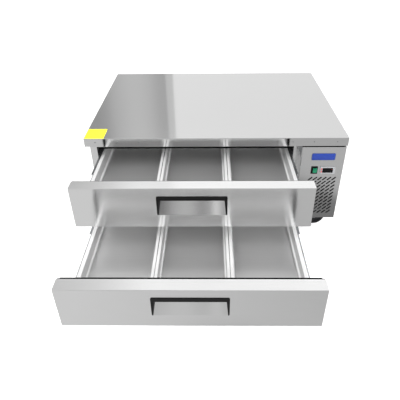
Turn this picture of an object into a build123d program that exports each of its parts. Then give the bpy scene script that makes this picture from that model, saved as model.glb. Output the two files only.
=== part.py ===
from build123d import *
import os

os.makedirs("parts", exist_ok=True)

# Refrigerated chef base: a low cabinet with two wide drawers under a worktop that carries
# cooking equipment, with its condensing unit on the right, on four casters.
# X runs to the right as seen from the front, Y to the back and Z up. The origin lies on the
# floor under the middle of the worktop. Lengths are in millimetres.
# The pieces stand as photographed: the upper drawer half open, the lower one fully open.

# Worktop
top_width = 1323.0
top_height = 676.0
top_sheet = 2.0
top_corner = 4.0
top_edge = 2.5
lip_height = 47.0
lip_return = 14.0
lip_fit = 0.5

# Cabinet shell
floor_clearance = 158.0
body_inset = 6.5
frame_setback = 58.0
skin = 1.2
base_sheet = 1.5
side_return = 15.0
machine_width = 221.0
machine_lap = 6.0
post_width = 35.0
mullion_width = 28.0

# Insulated compartment
floor_thick = 40.0
roof_thick = 45.0
rear_thick = 53.5
liner_sheet = 1.0
liner_radius = 12.0
frame_depth = 20.0
foam_joint = 0.2
full_turn = 360

# Louvres of the back panel and vents of the base, both in the machine compartment
louvre_length = 130.0
louvre_width = 7.0
louvre_pitch = 22.0
louvre_count = 10
louvre_drop = 186.0
vent_length = 110.0
vent_width = 8.0
vent_pitch = 20.0
vent_count = 6
vent_depth = 210.0

# Condenser cover and its slanted slots
cover_proud = 62.0
cover_gap = 6.0
cover_bend = 2.5
slot_length = 30.0
slot_width = 8.0
slot_slant = 45.0
slot_columns = 6
slot_rows = 10
slot_pitch_x = 24.4
grille_offset = 121.1
grille_gap = 55.8
grille_foot = 46.1

# Rocker switch
switch_offset = 74.5
controls_drop = 139.0
switch_width = 34.0
switch_height = 46.0
switch_corner = 3.0
switch_proud = 2.5
switch_depth = 24.0
switch_border = 3.0
switch_wall = 2.0
rocker_shift = 3.0
rocker_width = 21.0
rocker_height = 30.0
rocker_rise = 3.5
rocker_dish = 2.0
rocker_body = 9.0
rocker_tilt = 7.0
rocker_fit = 0.8

# Temperature controller
controller_offset = 142.5
controller_width = 77.0
controller_height = 45.0
controller_corner = 3.0
controller_proud = 4.0
controller_depth = 50.0
controller_border = 3.0
window_width = 54.0
window_height = 30.0
window_sink = 0.6
window_margin = 11.5
key_width = 5.0
key_height = 11.0
key_pitch = 15.0
key_proud = 1.2
key_depth = 5.0
key_fit = 0.3
key_margin = 4.5
key_travel = 0.8
controller_edge = 1.0

# Drawer fronts
front_inset = 4.0
front_foot = 3.5
front_thick = 52.0
front_sheet = 1.0
inner_sheet = 0.8
front_bend = 2.0
front_drop = 59.0
front_gap = 11.5
front_side_gap = 3.0
plug_depth = 6.0
plug_gap = 13.0

# Gaskets between the fronts and the face frame
gasket_inset = 3.0
gasket_width = 13.0
gasket_depth = 8.0
gasket_round = 3.0
gasket_lap = 11.0
seal_gap = 0.3

# Recessed pull of each front, pressed into its sheet, with a black grip round it
pull_width = 308.0
pull_height = 103.0
pull_depth = 38.0
pull_flat = 22.0
pull_drop = 48.0
grip_lap = 4.0
grip_corner = 7.0
grip_bar = 18.0
grip_arm_top = 9.0
grip_arm_bottom = 2.0
grip_edge = 0.8
grip_proud = 2.5
grip_depth = 14.0
grip_fit = 0.2

# Drawer frames
basket_spare = 68.0
basket_sheet = 1.5
basket_height = 62.0
basket_side_flange = 12.0
basket_end_flange = 41.0
basket_foot = 10.0
rim_share = 0.36
divider_width = 20.0
divider_height = 18.0

# Food pans, three to a drawer
pan_side_gap = 4.0
pan_gap = 3.0
pan_end_gap = 35.0
pan_depth = 65.0
pan_rim = 12.0
pan_rim_thick = 2.5
pan_rim_corner = 18.0
pan_corner = 28.0
pan_sheet = 1.0
pan_taper = 4.0
pan_fillet = 14.0
pan_count = 3

# Telescopic slides
slide_length = 668.0
slide_height = 45.0
slide_thick = 17.0
slide_sheet = 1.5
slide_gap = 0.3
slide_reach = 8.5
slide_web_gap = 0.5
slide_setback = 3.0
slide_drop = 5.0
slide_back_gap = 49.0
upper_opening = 312.0
lower_reserve = 28.0

# Casters
caster_inset_x = 109.0
caster_inset_y = 72.0
wheel_radius = 62.5
wheel_width = 32.0
wheel_dish = 5.0
wheel_round = 5.0
wheel_trail = 38.0
plate_width = 90.0
plate_length = 105.0
plate_thick = 3.0
plate_corner = 8.0
raceway_radius = 30.0
raceway_height = 8.0
fork_sheet = 3.0
fork_crown = 5.0
fork_foot = 15.0
fork_gap = 0.3
kingpin_radius = 6.0
axle_radius = 5.0
axle_head_radius = 9.0
axle_head = 5.0
axle_fit = 0.1
pedal_offset = 71.0
pedal_height = 128.0
pedal_reach = 40.0
pedal_boss = 7.0
pedal_pin = 3.0
pedal_tip = 2.5
pedal_slope = 2.0
shoe_angle = 263.0
shoe_reach = 7.2
shoe_radius = 3.0
fork_top = 22.0
wheel_boss = 14.0
wheel_rim = 46.0
cheek_gap = 1.5
pedal_lug = 8.0

# Condensing unit
tray_sheet = 1.5
tray_edge = 12.0
tray_margin = 3.0
tray_length = 600.0
tray_setback = 6.0
coil_height = 264.0
coil_thick = 44.0
coil_margin = 20.0
coil_border = 8.0
coil_stub = 10.0
coil_fin_gap = 5.0
coil_fin_pitch = 8.0
coil_fin_depth = 30.0
coil_bend_radius = 12.5
coil_bend_count = 4
coil_tube = 4.5
coil_setback = 16.0
shroud_radius = 84.0
shroud_ring = 26.0
shroud_arm = 12.0
motor_radius = 34.0
motor_length = 44.0
fan_inset = 3.0
shaft_radius = 4.0
fan_radius = 80.0
fan_hub = 24.0
fan_width = 20.0
fan_chord = 45.0
fan_blade = 1.5
fan_fit = 0.1
fan_blades = 5
fan_arm_turns = (45.0, 135.0)
fan_root_pitch = 45.0
fan_tip_pitch = 24.0
fan_root_share = 0.55
fan_overlap = 2.0
compressor_radius = 74.0
compressor_height = 178.0
compressor_seam = 4.0
compressor_seam_height = 8.0
compressor_dome = 52.0
compressor_y = 60.0
compressor_foot = 16.0
compressor_foot_radius = 11.0
compressor_plate = 3.0
compressor_plate_width = 176.0
compressor_plate_length = 132.0
terminal_width = 40.0
terminal_height = 46.0
terminal_depth = 16.0
pipe_radius = 4.0
pipe_bend = 16.0
pipe_rise = 100.0
pipe_stub_offset = 22.0
pipe_stub = 12.0
pipe_entry = 140.0
liquid_rise = 16.0
liquid_offset = 15.0
liquid_run = 220.0
drier_radius = 12.0
drier_length = 90.0

# Evaporator behind the drawers
evaporator_side = 113.0
evaporator_depth = 94.0
evaporator_height = 280.0
evaporator_drop = 20.0
evaporator_bend = 2.0
evaporator_grille = 150.0
evaporator_slot = 8.0
evaporator_slot_pitch = 22.0
evaporator_slots = 8
cold_coil_side = 90.0
cold_coil_height = 220.0
cold_coil_thick = 34.0
cold_fin_pitch = 20.0
cold_fin_gap = 15.0
cold_fan_radius = 64.0
cold_fan_gap = 5.0
cold_ring = 14.0
cold_motor_radius = 22.0
cold_motor_length = 20.0
cold_hub = 17.0
cold_chord = 26.0
cold_fan_width = 12.0
cold_shaft = 3.0
cold_fan_inset = 1.0

# Cable gland
gland_bore = 4.5
gland_barrel = 9.0
gland_nut = 13.0
gland_nut_length = 7.0
gland_barrel_length = 14.0
gland_height = 62.0

# Overrun of the cuts that pass right through a sheet
overrun = 1.0

# Levels and planes that the pieces share. The depth follows the slides, and the pans fill the width
top_depth = (slide_length + frame_setback + slide_setback + slide_back_gap
             + rear_thick + body_inset)
half_width = top_width / 2
half_depth = top_depth / 2
body_left = -half_width + body_inset
body_right = half_width - body_inset
body_back = half_depth - body_inset
body_bottom = floor_clearance
base_top = body_bottom + base_sheet
top_under = top_height - top_sheet
lip_bottom = top_height - lip_height
frame_face = -half_depth + frame_setback
liner_front = frame_face + frame_depth
cover_left = body_right - machine_width
cover_face = frame_face - cover_proud
cover_top = lip_bottom - cover_gap
opening_left = body_left + post_width
opening_right = cover_left - mullion_width
opening_middle = (opening_left + opening_right) / 2
partition_right = cover_left + machine_lap
cavity_floor = body_bottom + floor_thick
cavity_top = top_under - roof_thick
liner_back = body_back - rear_thick
back_inner = body_back - 2 * skin
machine_left = partition_right
machine_right = body_right - skin
machine_middle = (machine_left + machine_right) / 2
seal_width = gasket_inset + gasket_width + gasket_lap
front_right = cover_left - front_side_gap
front_left = body_left + front_inset
front_middle = (front_left + front_right) / 2
upper_top = top_height - front_drop
front_height = (upper_top - front_gap - body_bottom - front_foot) / 2
lower_top = upper_top - front_height - front_gap
closed_face = frame_face - seal_gap - gasket_depth - front_thick
slide_front = frame_face + slide_setback
basket_length = slide_length - basket_spare
pan_length = basket_length - 2 * pan_end_gap
pan_pitch = (opening_right - opening_left - 2 * slide_thick - 2 * pan_side_gap) / pan_count
pan_width = pan_pitch - pan_gap
lower_opening = slide_length - lower_reserve
rim_drop = front_height * rim_share
evaporator_width = opening_right - opening_left - 2 * evaporator_side
cold_coil_width = evaporator_width - 2 * cold_coil_side
kingpin_x = body_right - caster_inset_x
kingpin_y = -frame_face - caster_inset_y


def level(z):
    """Plane at height z that looks up."""
    return Plane.XY.offset(z)


def facing(y):
    """Plane at depth y that looks out of the cabinet's front."""
    return Plane.XZ.offset(-y)


def beside(x):
    """Plane at x that looks to the right."""
    return Plane.YZ.offset(x)


def span(x0, x1, y0, y1, mode=Mode.ADD):
    """Rectangle of the current sketch from one corner to the other, in either order."""
    with Locations(((x0 + x1) / 2, (y0 + y1) / 2)):
        Rectangle(abs(x1 - x0), abs(y1 - y0), mode=mode)


# Worktop: a pressed pan with a turned-down lip and a return under it
with BuildPart() as worktop:
    with BuildSketch(level(lip_bottom)):
        RectangleRounded(top_width, top_depth, top_corner)
    extrude(amount=lip_height)
    fillet(worktop.faces().sort_by(Axis.Z)[-1].edges(), radius=top_edge)
    with BuildSketch(level(lip_bottom)):
        Rectangle(top_width - 2 * top_sheet, top_depth - 2 * top_sheet)
    extrude(amount=lip_height - top_sheet, mode=Mode.SUBTRACT)
    with BuildSketch(level(lip_bottom)):
        RectangleRounded(top_width, top_depth, top_corner)
        span(body_left - lip_fit, body_right + lip_fit,
             -half_depth + lip_return, body_back + lip_fit, mode=Mode.SUBTRACT)
    extrude(amount=top_sheet)
worktop.part.label = "worktop"
export_step(worktop.part, "parts/worktop.step")

# Base: a plate with air vents under the machine compartment
with BuildPart() as base_panel:
    with BuildSketch(level(body_bottom)):
        span(body_left, body_right, frame_face, body_back)
        with Locations((machine_middle, vent_depth)):
            with GridLocations(0, vent_pitch, 1, vent_count):
                SlotOverall(vent_length, vent_width, mode=Mode.SUBTRACT)
    extrude(amount=base_sheet)
base_panel.part.label = "base_panel"
export_step(base_panel.part, "parts/base_panel.step")

# Side panels, each folded round the back corner
for side_name, outer, inward in (("left", body_left, 1), ("right", body_right, -1)):
    with BuildPart() as side_panel:
        with BuildSketch(level(base_top)):
            span(outer, outer + inward * skin, frame_face, body_back)
            span(outer, outer + inward * side_return, body_back - skin, body_back)
        extrude(amount=top_under - base_top)
    side_panel.part.label = f"side_panel_{side_name}"
    export_step(side_panel.part, f"parts/side_panel_{side_name}.step")

# Back panel with the louvres and the cable hole of the machine compartment
with BuildPart() as back_panel:
    with BuildSketch(facing(back_inner)):
        span(body_left + skin, body_right - skin, base_top, top_under)
        with Locations((machine_middle, top_under - louvre_drop)):
            with GridLocations(0, louvre_pitch, 1, louvre_count):
                Rectangle(louvre_length, louvre_width, mode=Mode.SUBTRACT)
        with Locations((machine_middle, body_bottom + gland_height)):
            Circle(gland_barrel, mode=Mode.SUBTRACT)
    extrude(amount=-skin)
back_panel.part.label = "back_panel"
export_step(back_panel.part, "parts/back_panel.step")

# Cable gland: a nut outside, a barrel through the back panel and a bore for the cable
with BuildPart() as cable_gland:
    with BuildSketch(facing(back_inner + skin)):
        with Locations((machine_middle, body_bottom + gland_height)):
            RegularPolygon(gland_nut, side_count=6, major_radius=False)
    extrude(amount=-gland_nut_length)
    with BuildSketch(facing(back_inner + skin)):
        with Locations((machine_middle, body_bottom + gland_height)):
            Circle(gland_barrel)
    extrude(amount=gland_barrel_length)
    with BuildSketch(facing(back_inner + skin + gland_nut_length)):
        with Locations((machine_middle, body_bottom + gland_height)):
            Circle(gland_bore)
    extrude(amount=gland_nut_length + gland_barrel_length, mode=Mode.SUBTRACT)
cable_gland.part.label = "cable_gland"
export_step(cable_gland.part, "parts/cable_gland.step")

# Sheet between the insulation and the machine compartment
with BuildPart() as machine_wall:
    with BuildSketch(level(base_top)):
        span(machine_left - skin, machine_left, liner_front, back_inner)
    extrude(amount=top_under - base_top)
machine_wall.part.label = "machine_wall"
export_step(machine_wall.part, "parts/machine_wall.step")

# Face frame round the two drawer openings, a folded channel with its back open
frame_windows = (
    (upper_top - front_height + seal_width, upper_top - seal_width),
    (cavity_floor, lower_top - seal_width),
)
with BuildPart() as face_frame:
    with BuildSketch(facing(frame_face)):
        span(body_left + skin, partition_right, base_top, top_under)
        for low, high in frame_windows:
            span(opening_left, opening_right, low, high, mode=Mode.SUBTRACT)
    extrude(amount=-frame_depth)
    with BuildSketch(facing(frame_face + skin)):
        span(body_left + 2 * skin, partition_right - skin, base_top + skin, top_under - skin)
        for low, high in frame_windows:
            span(opening_left - skin, opening_right + skin, low - skin, high + skin,
                 mode=Mode.SUBTRACT)
    extrude(amount=skin - frame_depth, mode=Mode.SUBTRACT)
face_frame.part.label = "face_frame"
export_step(face_frame.part, "parts/face_frame.step")

# Liner of the cold compartment, a coved box open at the front
with BuildPart() as inner_liner:
    with BuildSketch(facing(liner_front)):
        span(opening_left - liner_sheet, opening_right + liner_sheet,
             cavity_floor - liner_sheet, cavity_top + liner_sheet)
    extrude(amount=liner_front - liner_back - liner_sheet)
    coved = inner_liner.edges().filter_by(Axis.Y) + inner_liner.faces().sort_by(Axis.Y)[-1].edges()
    fillet(coved, radius=liner_radius)
    offset(amount=-liner_sheet, openings=inner_liner.faces().sort_by(Axis.Y)[0])
inner_liner.part.label = "inner_liner"
export_step(inner_liner.part, "parts/inner_liner.step")

# Insulation: five foamed panels between the liner and the outer sheets
foam_left = opening_left - liner_sheet
foam_right = opening_right + liner_sheet
foam_floor = cavity_floor - liner_sheet
foam_roof = cavity_top + liner_sheet
between = (foam_left + foam_joint, foam_right - foam_joint)
foam_panels_at = (
    (body_left + skin, foam_left, liner_front, base_top, top_under),
    (foam_right, partition_right - skin, liner_front, base_top, top_under),
    (*between, liner_front, base_top, foam_floor),
    (*between, liner_front, foam_roof, top_under),
    (*between, liner_back + liner_sheet, foam_floor + foam_joint, foam_roof - foam_joint),
)
with BuildPart() as foam_panels:
    for left, right, near, low, high in foam_panels_at:
        with BuildSketch(facing(near)):
            span(left, right, low, high)
        extrude(amount=near - back_inner)
foam_panels.part.label = "foam_panels"
export_step(foam_panels.part, "parts/foam_panels.step")

# Condenser cover: a deep folded box with slanted slots and the holes of the two controls
grille_x = cover_left + grille_offset
switch_x = cover_left + switch_offset
controller_x = cover_left + controller_offset
controls_z = cover_top - controls_drop
grille_top = controls_z - grille_gap
grille_bottom = body_bottom + grille_foot
slot_pitch_z = (grille_top - grille_bottom) / (slot_rows - 1)
switch_hole = (switch_width - 2 * switch_border, switch_height - 2 * switch_border)
controller_hole = (controller_width - 2 * controller_border,
                   controller_height - 2 * controller_border)
with BuildPart() as condenser_cover:
    with BuildSketch(facing(cover_face)):
        span(cover_left, body_right, body_bottom, cover_top)
    extrude(amount=-cover_proud)
    fillet(condenser_cover.faces().sort_by(Axis.Y)[0].edges(), radius=cover_bend)
    with BuildSketch(facing(cover_face + skin)):
        span(cover_left + skin, body_right - skin, body_bottom + skin, cover_top - skin)
    extrude(amount=skin - cover_proud, mode=Mode.SUBTRACT)
    with BuildSketch(facing(cover_face)):
        with Locations((grille_x, (grille_top + grille_bottom) / 2)):
            with GridLocations(slot_pitch_x, slot_pitch_z, slot_columns, slot_rows):
                SlotOverall(slot_length, slot_width, rotation=slot_slant)
        with Locations((switch_x, controls_z)):
            Rectangle(*switch_hole)
        with Locations((controller_x, controls_z)):
            Rectangle(*controller_hole)
    extrude(amount=-skin, mode=Mode.SUBTRACT)
condenser_cover.part.label = "condenser_cover"
export_step(condenser_cover.part, "parts/condenser_cover.step")

# Switch housing: a bezel on the cover and a body behind it, hollow for the rocker
rocker_x = switch_x + rocker_shift
with BuildPart() as switch_housing:
    with BuildSketch(facing(cover_face - switch_proud)):
        with Locations((switch_x, controls_z)):
            RectangleRounded(switch_width, switch_height, switch_corner)
    extrude(amount=-switch_proud)
    fillet(switch_housing.faces().sort_by(Axis.Y)[0].outer_wire().edges(), radius=switch_proud / 2)
    with BuildSketch(facing(cover_face)):
        with Locations((switch_x, controls_z)):
            Rectangle(*switch_hole)
    extrude(amount=-switch_depth)
    with BuildSketch(facing(cover_face - switch_proud)):
        with Locations((rocker_x, controls_z)):
            Rectangle(rocker_width + 2 * key_fit, rocker_height + 2 * rocker_fit)
    extrude(amount=switch_wall - switch_depth - switch_proud, mode=Mode.SUBTRACT)
switch_housing.part.label = "switch_housing"
export_step(switch_housing.part, "parts/switch_housing.step")

# Rocker: a dished actuator that tips about its middle, at rest on its switched-on side
rocker_x = switch_x + rocker_shift
rocker_side = Plane((rocker_x - rocker_width / 2, cover_face - switch_proud, controls_z),
                    x_dir=Vector(0, 1, 0).rotate(Axis.X, rocker_tilt), z_dir=(1, 0, 0))
rocker_half = rocker_height / 2
with BuildPart() as rocker:
    with BuildSketch(rocker_side):
        with BuildLine():
            Polyline((-rocker_rise, -rocker_half), (rocker_dish - rocker_rise, 0),
                     (-rocker_rise, rocker_half))
            ThreePointArc((-rocker_rise, rocker_half), (rocker_body, 0),
                          (-rocker_rise, -rocker_half))
        make_face()
    extrude(amount=rocker_width)
rocker.part.label = "rocker"
export_step(rocker.part, "parts/rocker.step")

# Temperature controller: a bezel with a sunk window and two key holes, and its case behind
controller_face = cover_face - controller_proud
window_x = controller_x + controller_width / 2 - window_margin - window_width / 2
keys_x = controller_x - controller_width / 2 + key_margin + key_width / 2
with BuildPart() as controller_housing:
    with BuildSketch(facing(controller_face)):
        with Locations((controller_x, controls_z)):
            RectangleRounded(controller_width, controller_height, controller_corner)
    extrude(amount=-controller_proud)
    fillet(controller_housing.faces().sort_by(Axis.Y)[0].edges(), radius=controller_edge)
    with BuildSketch(facing(cover_face)):
        with Locations((controller_x, controls_z)):
            Rectangle(*controller_hole)
    extrude(amount=-controller_depth)
    with BuildSketch(facing(controller_face)):
        with Locations((window_x, controls_z)):
            Rectangle(window_width, window_height)
    extrude(amount=-window_sink, mode=Mode.SUBTRACT)
    with BuildSketch(facing(controller_face)):
        with Locations((keys_x, controls_z)):
            with GridLocations(0, key_pitch, 1, 2):
                Rectangle(key_width + 2 * key_fit, key_height + 2 * key_fit)
    extrude(amount=-key_depth - key_travel - key_fit, mode=Mode.SUBTRACT)
controller_housing.part.label = "controller_housing"
export_step(controller_housing.part, "parts/controller_housing.step")

# The controller's two keys
for key_name, rise in (("upper", key_pitch / 2), ("lower", -key_pitch / 2)):
    with BuildPart() as controller_key:
        with BuildSketch(facing(controller_face - key_proud)):
            with Locations((keys_x, controls_z + rise)):
                Rectangle(key_width, key_height)
        extrude(amount=-key_proud - key_depth)
        fillet(controller_key.faces().sort_by(Axis.Y)[0].edges(), radius=key_proud / 2)
    controller_key.part.label = f"controller_key_{key_name}"
    export_step(controller_key.part, f"parts/controller_key_{key_name}.step")


def make_fan_mount(near, x, z, radius, ring, motor, length, shaft, shaft_front):
    """Ring round a fan, with arms behind it that carry the motor and its shaft."""
    with BuildPart() as mount:
        with BuildSketch(facing(near)):
            with Locations((x, z)):
                Circle(radius + skin)
                Circle(radius, mode=Mode.SUBTRACT)
        extrude(amount=-ring - skin)
        with BuildSketch(facing(near + ring)):
            with Locations((x, z)):
                for turn in fan_arm_turns:
                    Rectangle(2 * radius + skin, shroud_arm, rotation=turn)
        extrude(amount=-skin)
        with BuildSketch(facing(near + ring)):
            with Locations((x, z)):
                Circle(motor)
        extrude(amount=-length)
        with BuildSketch(facing(near + ring)):
            with Locations((x, z)):
                Circle(shaft)
        extrude(amount=ring - shaft_front)
    return mount


def make_fan(near, x, z, hub, tip, width, chord, shaft):
    """Axial fan whose blades twist from root to tip, with a bore for its shaft."""
    with BuildPart() as fan:
        with BuildSketch(facing(near)):
            with Locations((x, z)):
                Circle(hub)
        extrude(amount=-width)
        for spoke in PolarLocations(0, fan_blades):
            out = spoke.x_axis.direction
            out = Vector(out.X, 0, out.Y)
            middle = Vector(x, near + width / 2, z)
            root = Plane(middle + out * (hub - fan_overlap), x_dir=(0, 1, 0), z_dir=out)
            end = Plane(middle + out * tip, x_dir=(0, 1, 0), z_dir=out)
            with BuildSketch(root):
                Rectangle(fan_blade, chord * fan_root_share, rotation=fan_root_pitch)
            with BuildSketch(end):
                Rectangle(fan_blade, chord, rotation=fan_tip_pitch)
            loft(ruled=True)
        with BuildSketch(facing(near)):
            with Locations((x, z)):
                Circle(shaft + fan_fit)
        extrude(amount=-width, mode=Mode.SUBTRACT)
    return fan


# Tray of the condensing unit, with its edges turned up
tray_left = machine_left + tray_margin
tray_right = machine_right - tray_margin
tray_front = frame_face + tray_setback
with BuildPart() as unit_tray:
    with BuildSketch(level(base_top)):
        span(tray_left, tray_right, tray_front, tray_front + tray_length)
    extrude(amount=tray_edge)
    with BuildSketch(level(base_top + tray_sheet)):
        span(tray_left + tray_sheet, tray_right - tray_sheet,
             tray_front + tray_sheet, tray_front + tray_length - tray_sheet)
    extrude(amount=tray_edge, mode=Mode.SUBTRACT)
unit_tray.part.label = "unit_tray"
export_step(unit_tray.part, "parts/unit_tray.step")

# Condenser coil: fins cut from the front, return bends on its right end, two pipe stubs on top
tray_top = base_top + tray_sheet
coil_left = machine_left + coil_margin
coil_right = machine_right - coil_margin
coil_front = frame_face + coil_setback
coil_back = coil_front + coil_thick
coil_middle_y = (coil_front + coil_back) / 2
coil_top = tray_top + coil_height
coil_fins = int((coil_right - coil_left - 2 * coil_border) / coil_fin_pitch)
discharge_x = machine_middle + pipe_stub_offset
suction_x = machine_middle - pipe_stub_offset
liquid_x = coil_left + liquid_offset
with BuildPart() as condenser_coil:
    with BuildSketch(facing(coil_front)):
        span(coil_left, coil_right, tray_top, coil_top)
    extrude(amount=-coil_thick)
    with BuildSketch(facing(coil_front)):
        with Locations((machine_middle, (tray_top + coil_top) / 2)):
            with GridLocations(coil_fin_pitch, 0, coil_fins, 1):
                Rectangle(coil_fin_gap, coil_height - 2 * coil_border)
    extrude(amount=-coil_fin_depth, mode=Mode.SUBTRACT)
    bend_pitch = coil_height / coil_bend_count
    for turn in range(coil_bend_count):
        bend_z = tray_top + (turn + 0.5) * bend_pitch
        with BuildSketch(beside(coil_right)):
            with Locations((coil_middle_y, bend_z + coil_bend_radius)):
                Circle(coil_tube)
        revolve(axis=Axis((coil_right, coil_middle_y, bend_z), (0, 1, 0)), revolution_arc=180)
    with BuildSketch(level(coil_top)):
        with Locations((discharge_x, coil_middle_y), (liquid_x, coil_middle_y)):
            Circle(pipe_radius)
    extrude(amount=coil_stub)
condenser_coil.part.label = "condenser_coil"
export_step(condenser_coil.part, "parts/condenser_coil.step")

# Fan shroud behind the coil, with the motor on its arms
fan_z = (tray_top + coil_top) / 2
condenser_mount = make_fan_mount(coil_back, machine_middle, fan_z, shroud_radius, shroud_ring,
                                 motor_radius, motor_length, shaft_radius, fan_inset + fan_fit)
with BuildPart() as fan_shroud:
    with BuildSketch(facing(coil_back)):
        span(coil_left, coil_right, tray_top, coil_top)
        with Locations((machine_middle, fan_z)):
            Circle(shroud_radius, mode=Mode.SUBTRACT)
    extrude(amount=-skin)
    add(condenser_mount.part)
fan_shroud.part.label = "fan_shroud"
export_step(fan_shroud.part, "parts/fan_shroud.step")

condenser_fan = make_fan(coil_back + fan_inset, machine_middle, fan_z,
                         fan_hub, fan_radius, fan_width, fan_chord, shaft_radius)
condenser_fan.part.label = "condenser_fan"
export_step(condenser_fan.part, "parts/condenser_fan.step")

# Hermetic compressor: a domed shell with a welded seam, on a footed plate
shell_bottom = tray_top + compressor_foot + compressor_plate
shell_top = shell_bottom + compressor_height
seam_rise = compressor_height / 2
with BuildPart() as compressor:
    with BuildSketch(level(shell_bottom)):
        with Locations((machine_middle, compressor_y)):
            Circle(compressor_radius)
    extrude(amount=compressor_height)
    fillet(compressor.faces().sort_by(Axis.Z)[-1].edges(), radius=compressor_dome)
    with BuildSketch(level(shell_bottom + seam_rise)):
        with Locations((machine_middle, compressor_y)):
            Circle(compressor_radius + compressor_seam)
    extrude(amount=compressor_seam_height)
    with BuildSketch(level(shell_bottom)):
        with Locations((machine_middle, compressor_y)):
            RectangleRounded(compressor_plate_width, compressor_plate_length, compressor_foot)
    extrude(amount=-compressor_plate)
    with BuildSketch(level(tray_top)):
        with Locations((machine_middle, compressor_y)):
            with GridLocations(compressor_plate_width - 2 * compressor_foot,
                               compressor_plate_length - 2 * compressor_foot, 2, 2):
                Circle(compressor_foot_radius)
    extrude(amount=compressor_foot)
    with BuildSketch(facing(compressor_y - compressor_radius - terminal_depth)):
        with Locations((machine_middle, shell_bottom + seam_rise - terminal_height / 2)):
            Rectangle(terminal_width, terminal_height - compressor_seam)
    extrude(amount=-terminal_depth - terminal_width)
    with BuildSketch(level(shell_top + pipe_stub)):
        with Locations((discharge_x, compressor_y), (suction_x, compressor_y)):
            Circle(pipe_radius)
    extrude(amount=-pipe_stub - compressor_dome)
compressor.part.label = "compressor"
export_step(compressor.part, "parts/compressor.step")

# Refrigerant pipes: discharge, suction, and the liquid line with its filter drier
stub_top = shell_top + pipe_stub
coil_stub_top = coil_top + coil_stub
pipe_top = stub_top + pipe_rise
liquid_top = coil_stub_top + liquid_rise + pipe_bend
pipe_routes = (
    ((discharge_x, compressor_y, stub_top), (discharge_x, compressor_y, pipe_top),
     (discharge_x, coil_middle_y, pipe_top), (discharge_x, coil_middle_y, coil_stub_top)),
    ((suction_x, compressor_y, stub_top), (suction_x, compressor_y, pipe_top + pipe_bend),
     (suction_x, compressor_y + pipe_entry, pipe_top + pipe_bend),
     (machine_left, compressor_y + pipe_entry, pipe_top + pipe_bend)),
    ((liquid_x, coil_middle_y, coil_stub_top), (liquid_x, coil_middle_y, liquid_top),
     (liquid_x, coil_middle_y + liquid_run, liquid_top),
     (machine_left, coil_middle_y + liquid_run, liquid_top)),
)
with BuildPart() as refrigerant_pipes:
    for route in pipe_routes:
        with BuildLine() as run:
            FilletPolyline(*route, radius=pipe_bend)
        with BuildSketch(Plane(run.line @ 0, z_dir=run.line % 0)):
            Circle(pipe_radius)
        sweep(path=run.line)
    with BuildSketch(facing(coil_middle_y + liquid_run / 2 - drier_length / 2)):
        with Locations((liquid_x, liquid_top)):
            Circle(drier_radius)
    extrude(amount=-drier_length)
    fillet(refrigerant_pipes.edges().filter_by(GeomType.CIRCLE).filter_by(
        lambda edge: abs(edge.radius - drier_radius) < drier_radius / 100),
        radius=drier_radius / 2)
refrigerant_pipes.part.label = "refrigerant_pipes"
export_step(refrigerant_pipes.part, "parts/refrigerant_pipes.step")

# Evaporator: a finned coil on the rear wall, under a cover with a fan ring and grilles
cold_front = liner_back - evaporator_depth
cold_top = cavity_top - evaporator_drop
cold_z = cold_top - evaporator_height / 2
cold_fins = int(cold_coil_width / cold_fin_pitch) - 1
with BuildPart() as evaporator_coil:
    with BuildSketch(facing(liner_back)):
        with Locations((opening_middle, cold_z)):
            Rectangle(cold_coil_width, cold_coil_height)
    extrude(amount=cold_coil_thick)
    with BuildSketch(facing(liner_back - cold_coil_thick)):
        with Locations((opening_middle, cold_z)):
            with GridLocations(cold_fin_pitch, 0, cold_fins, 1):
                Rectangle(cold_fin_gap, cold_coil_height - 2 * coil_border)
    extrude(amount=-cold_coil_thick / 2, mode=Mode.SUBTRACT)
evaporator_coil.part.label = "evaporator_coil"
export_step(evaporator_coil.part, "parts/evaporator_coil.step")

cold_mount = make_fan_mount(cold_front, opening_middle, cold_z, cold_fan_radius + cold_fan_gap,
                            cold_ring, cold_motor_radius, cold_motor_length, cold_shaft,
                            cold_fan_inset + fan_fit)
with BuildPart() as evaporator_cover:
    with BuildSketch(facing(cold_front)):
        with Locations((opening_middle, cold_z)):
            Rectangle(evaporator_width, evaporator_height)
    extrude(amount=-evaporator_depth)
    fillet(evaporator_cover.faces().sort_by(Axis.Y)[0].edges(), radius=evaporator_bend)
    with BuildSketch(facing(cold_front + skin)):
        with Locations((opening_middle, cold_z)):
            Rectangle(evaporator_width - 2 * skin, evaporator_height - 2 * skin)
    extrude(amount=skin - evaporator_depth, mode=Mode.SUBTRACT)
    with BuildSketch(facing(cold_front)):
        with Locations((opening_middle, cold_z)):
            Circle(cold_fan_radius + cold_fan_gap)
            with GridLocations(evaporator_width - evaporator_grille - 2 * evaporator_slot_pitch,
                               evaporator_slot_pitch, 2, evaporator_slots):
                Rectangle(evaporator_grille, evaporator_slot)
    extrude(amount=-skin, mode=Mode.SUBTRACT)
    add(cold_mount.part)
evaporator_cover.part.label = "evaporator_cover"
export_step(evaporator_cover.part, "parts/evaporator_cover.step")

evaporator_fan = make_fan(cold_front + cold_fan_inset, opening_middle, cold_z,
                          cold_hub, cold_fan_radius, cold_fan_width, cold_chord, cold_shaft)
evaporator_fan.part.label = "evaporator_fan"
export_step(evaporator_fan.part, "parts/evaporator_fan.step")


def make_slide(near, z, strips):
    """A left and a right slide member of one section, each strip given from the side wall."""
    with BuildPart() as members:
        with BuildSketch(facing(near)):
            for wall, inward in ((opening_left, 1), (opening_right, -1)):
                for reach_0, reach_1, low, high in strips:
                    span(wall + inward * reach_0, wall + inward * reach_1, z + low, z + high)
        extrude(amount=-slide_length)
    return members


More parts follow.
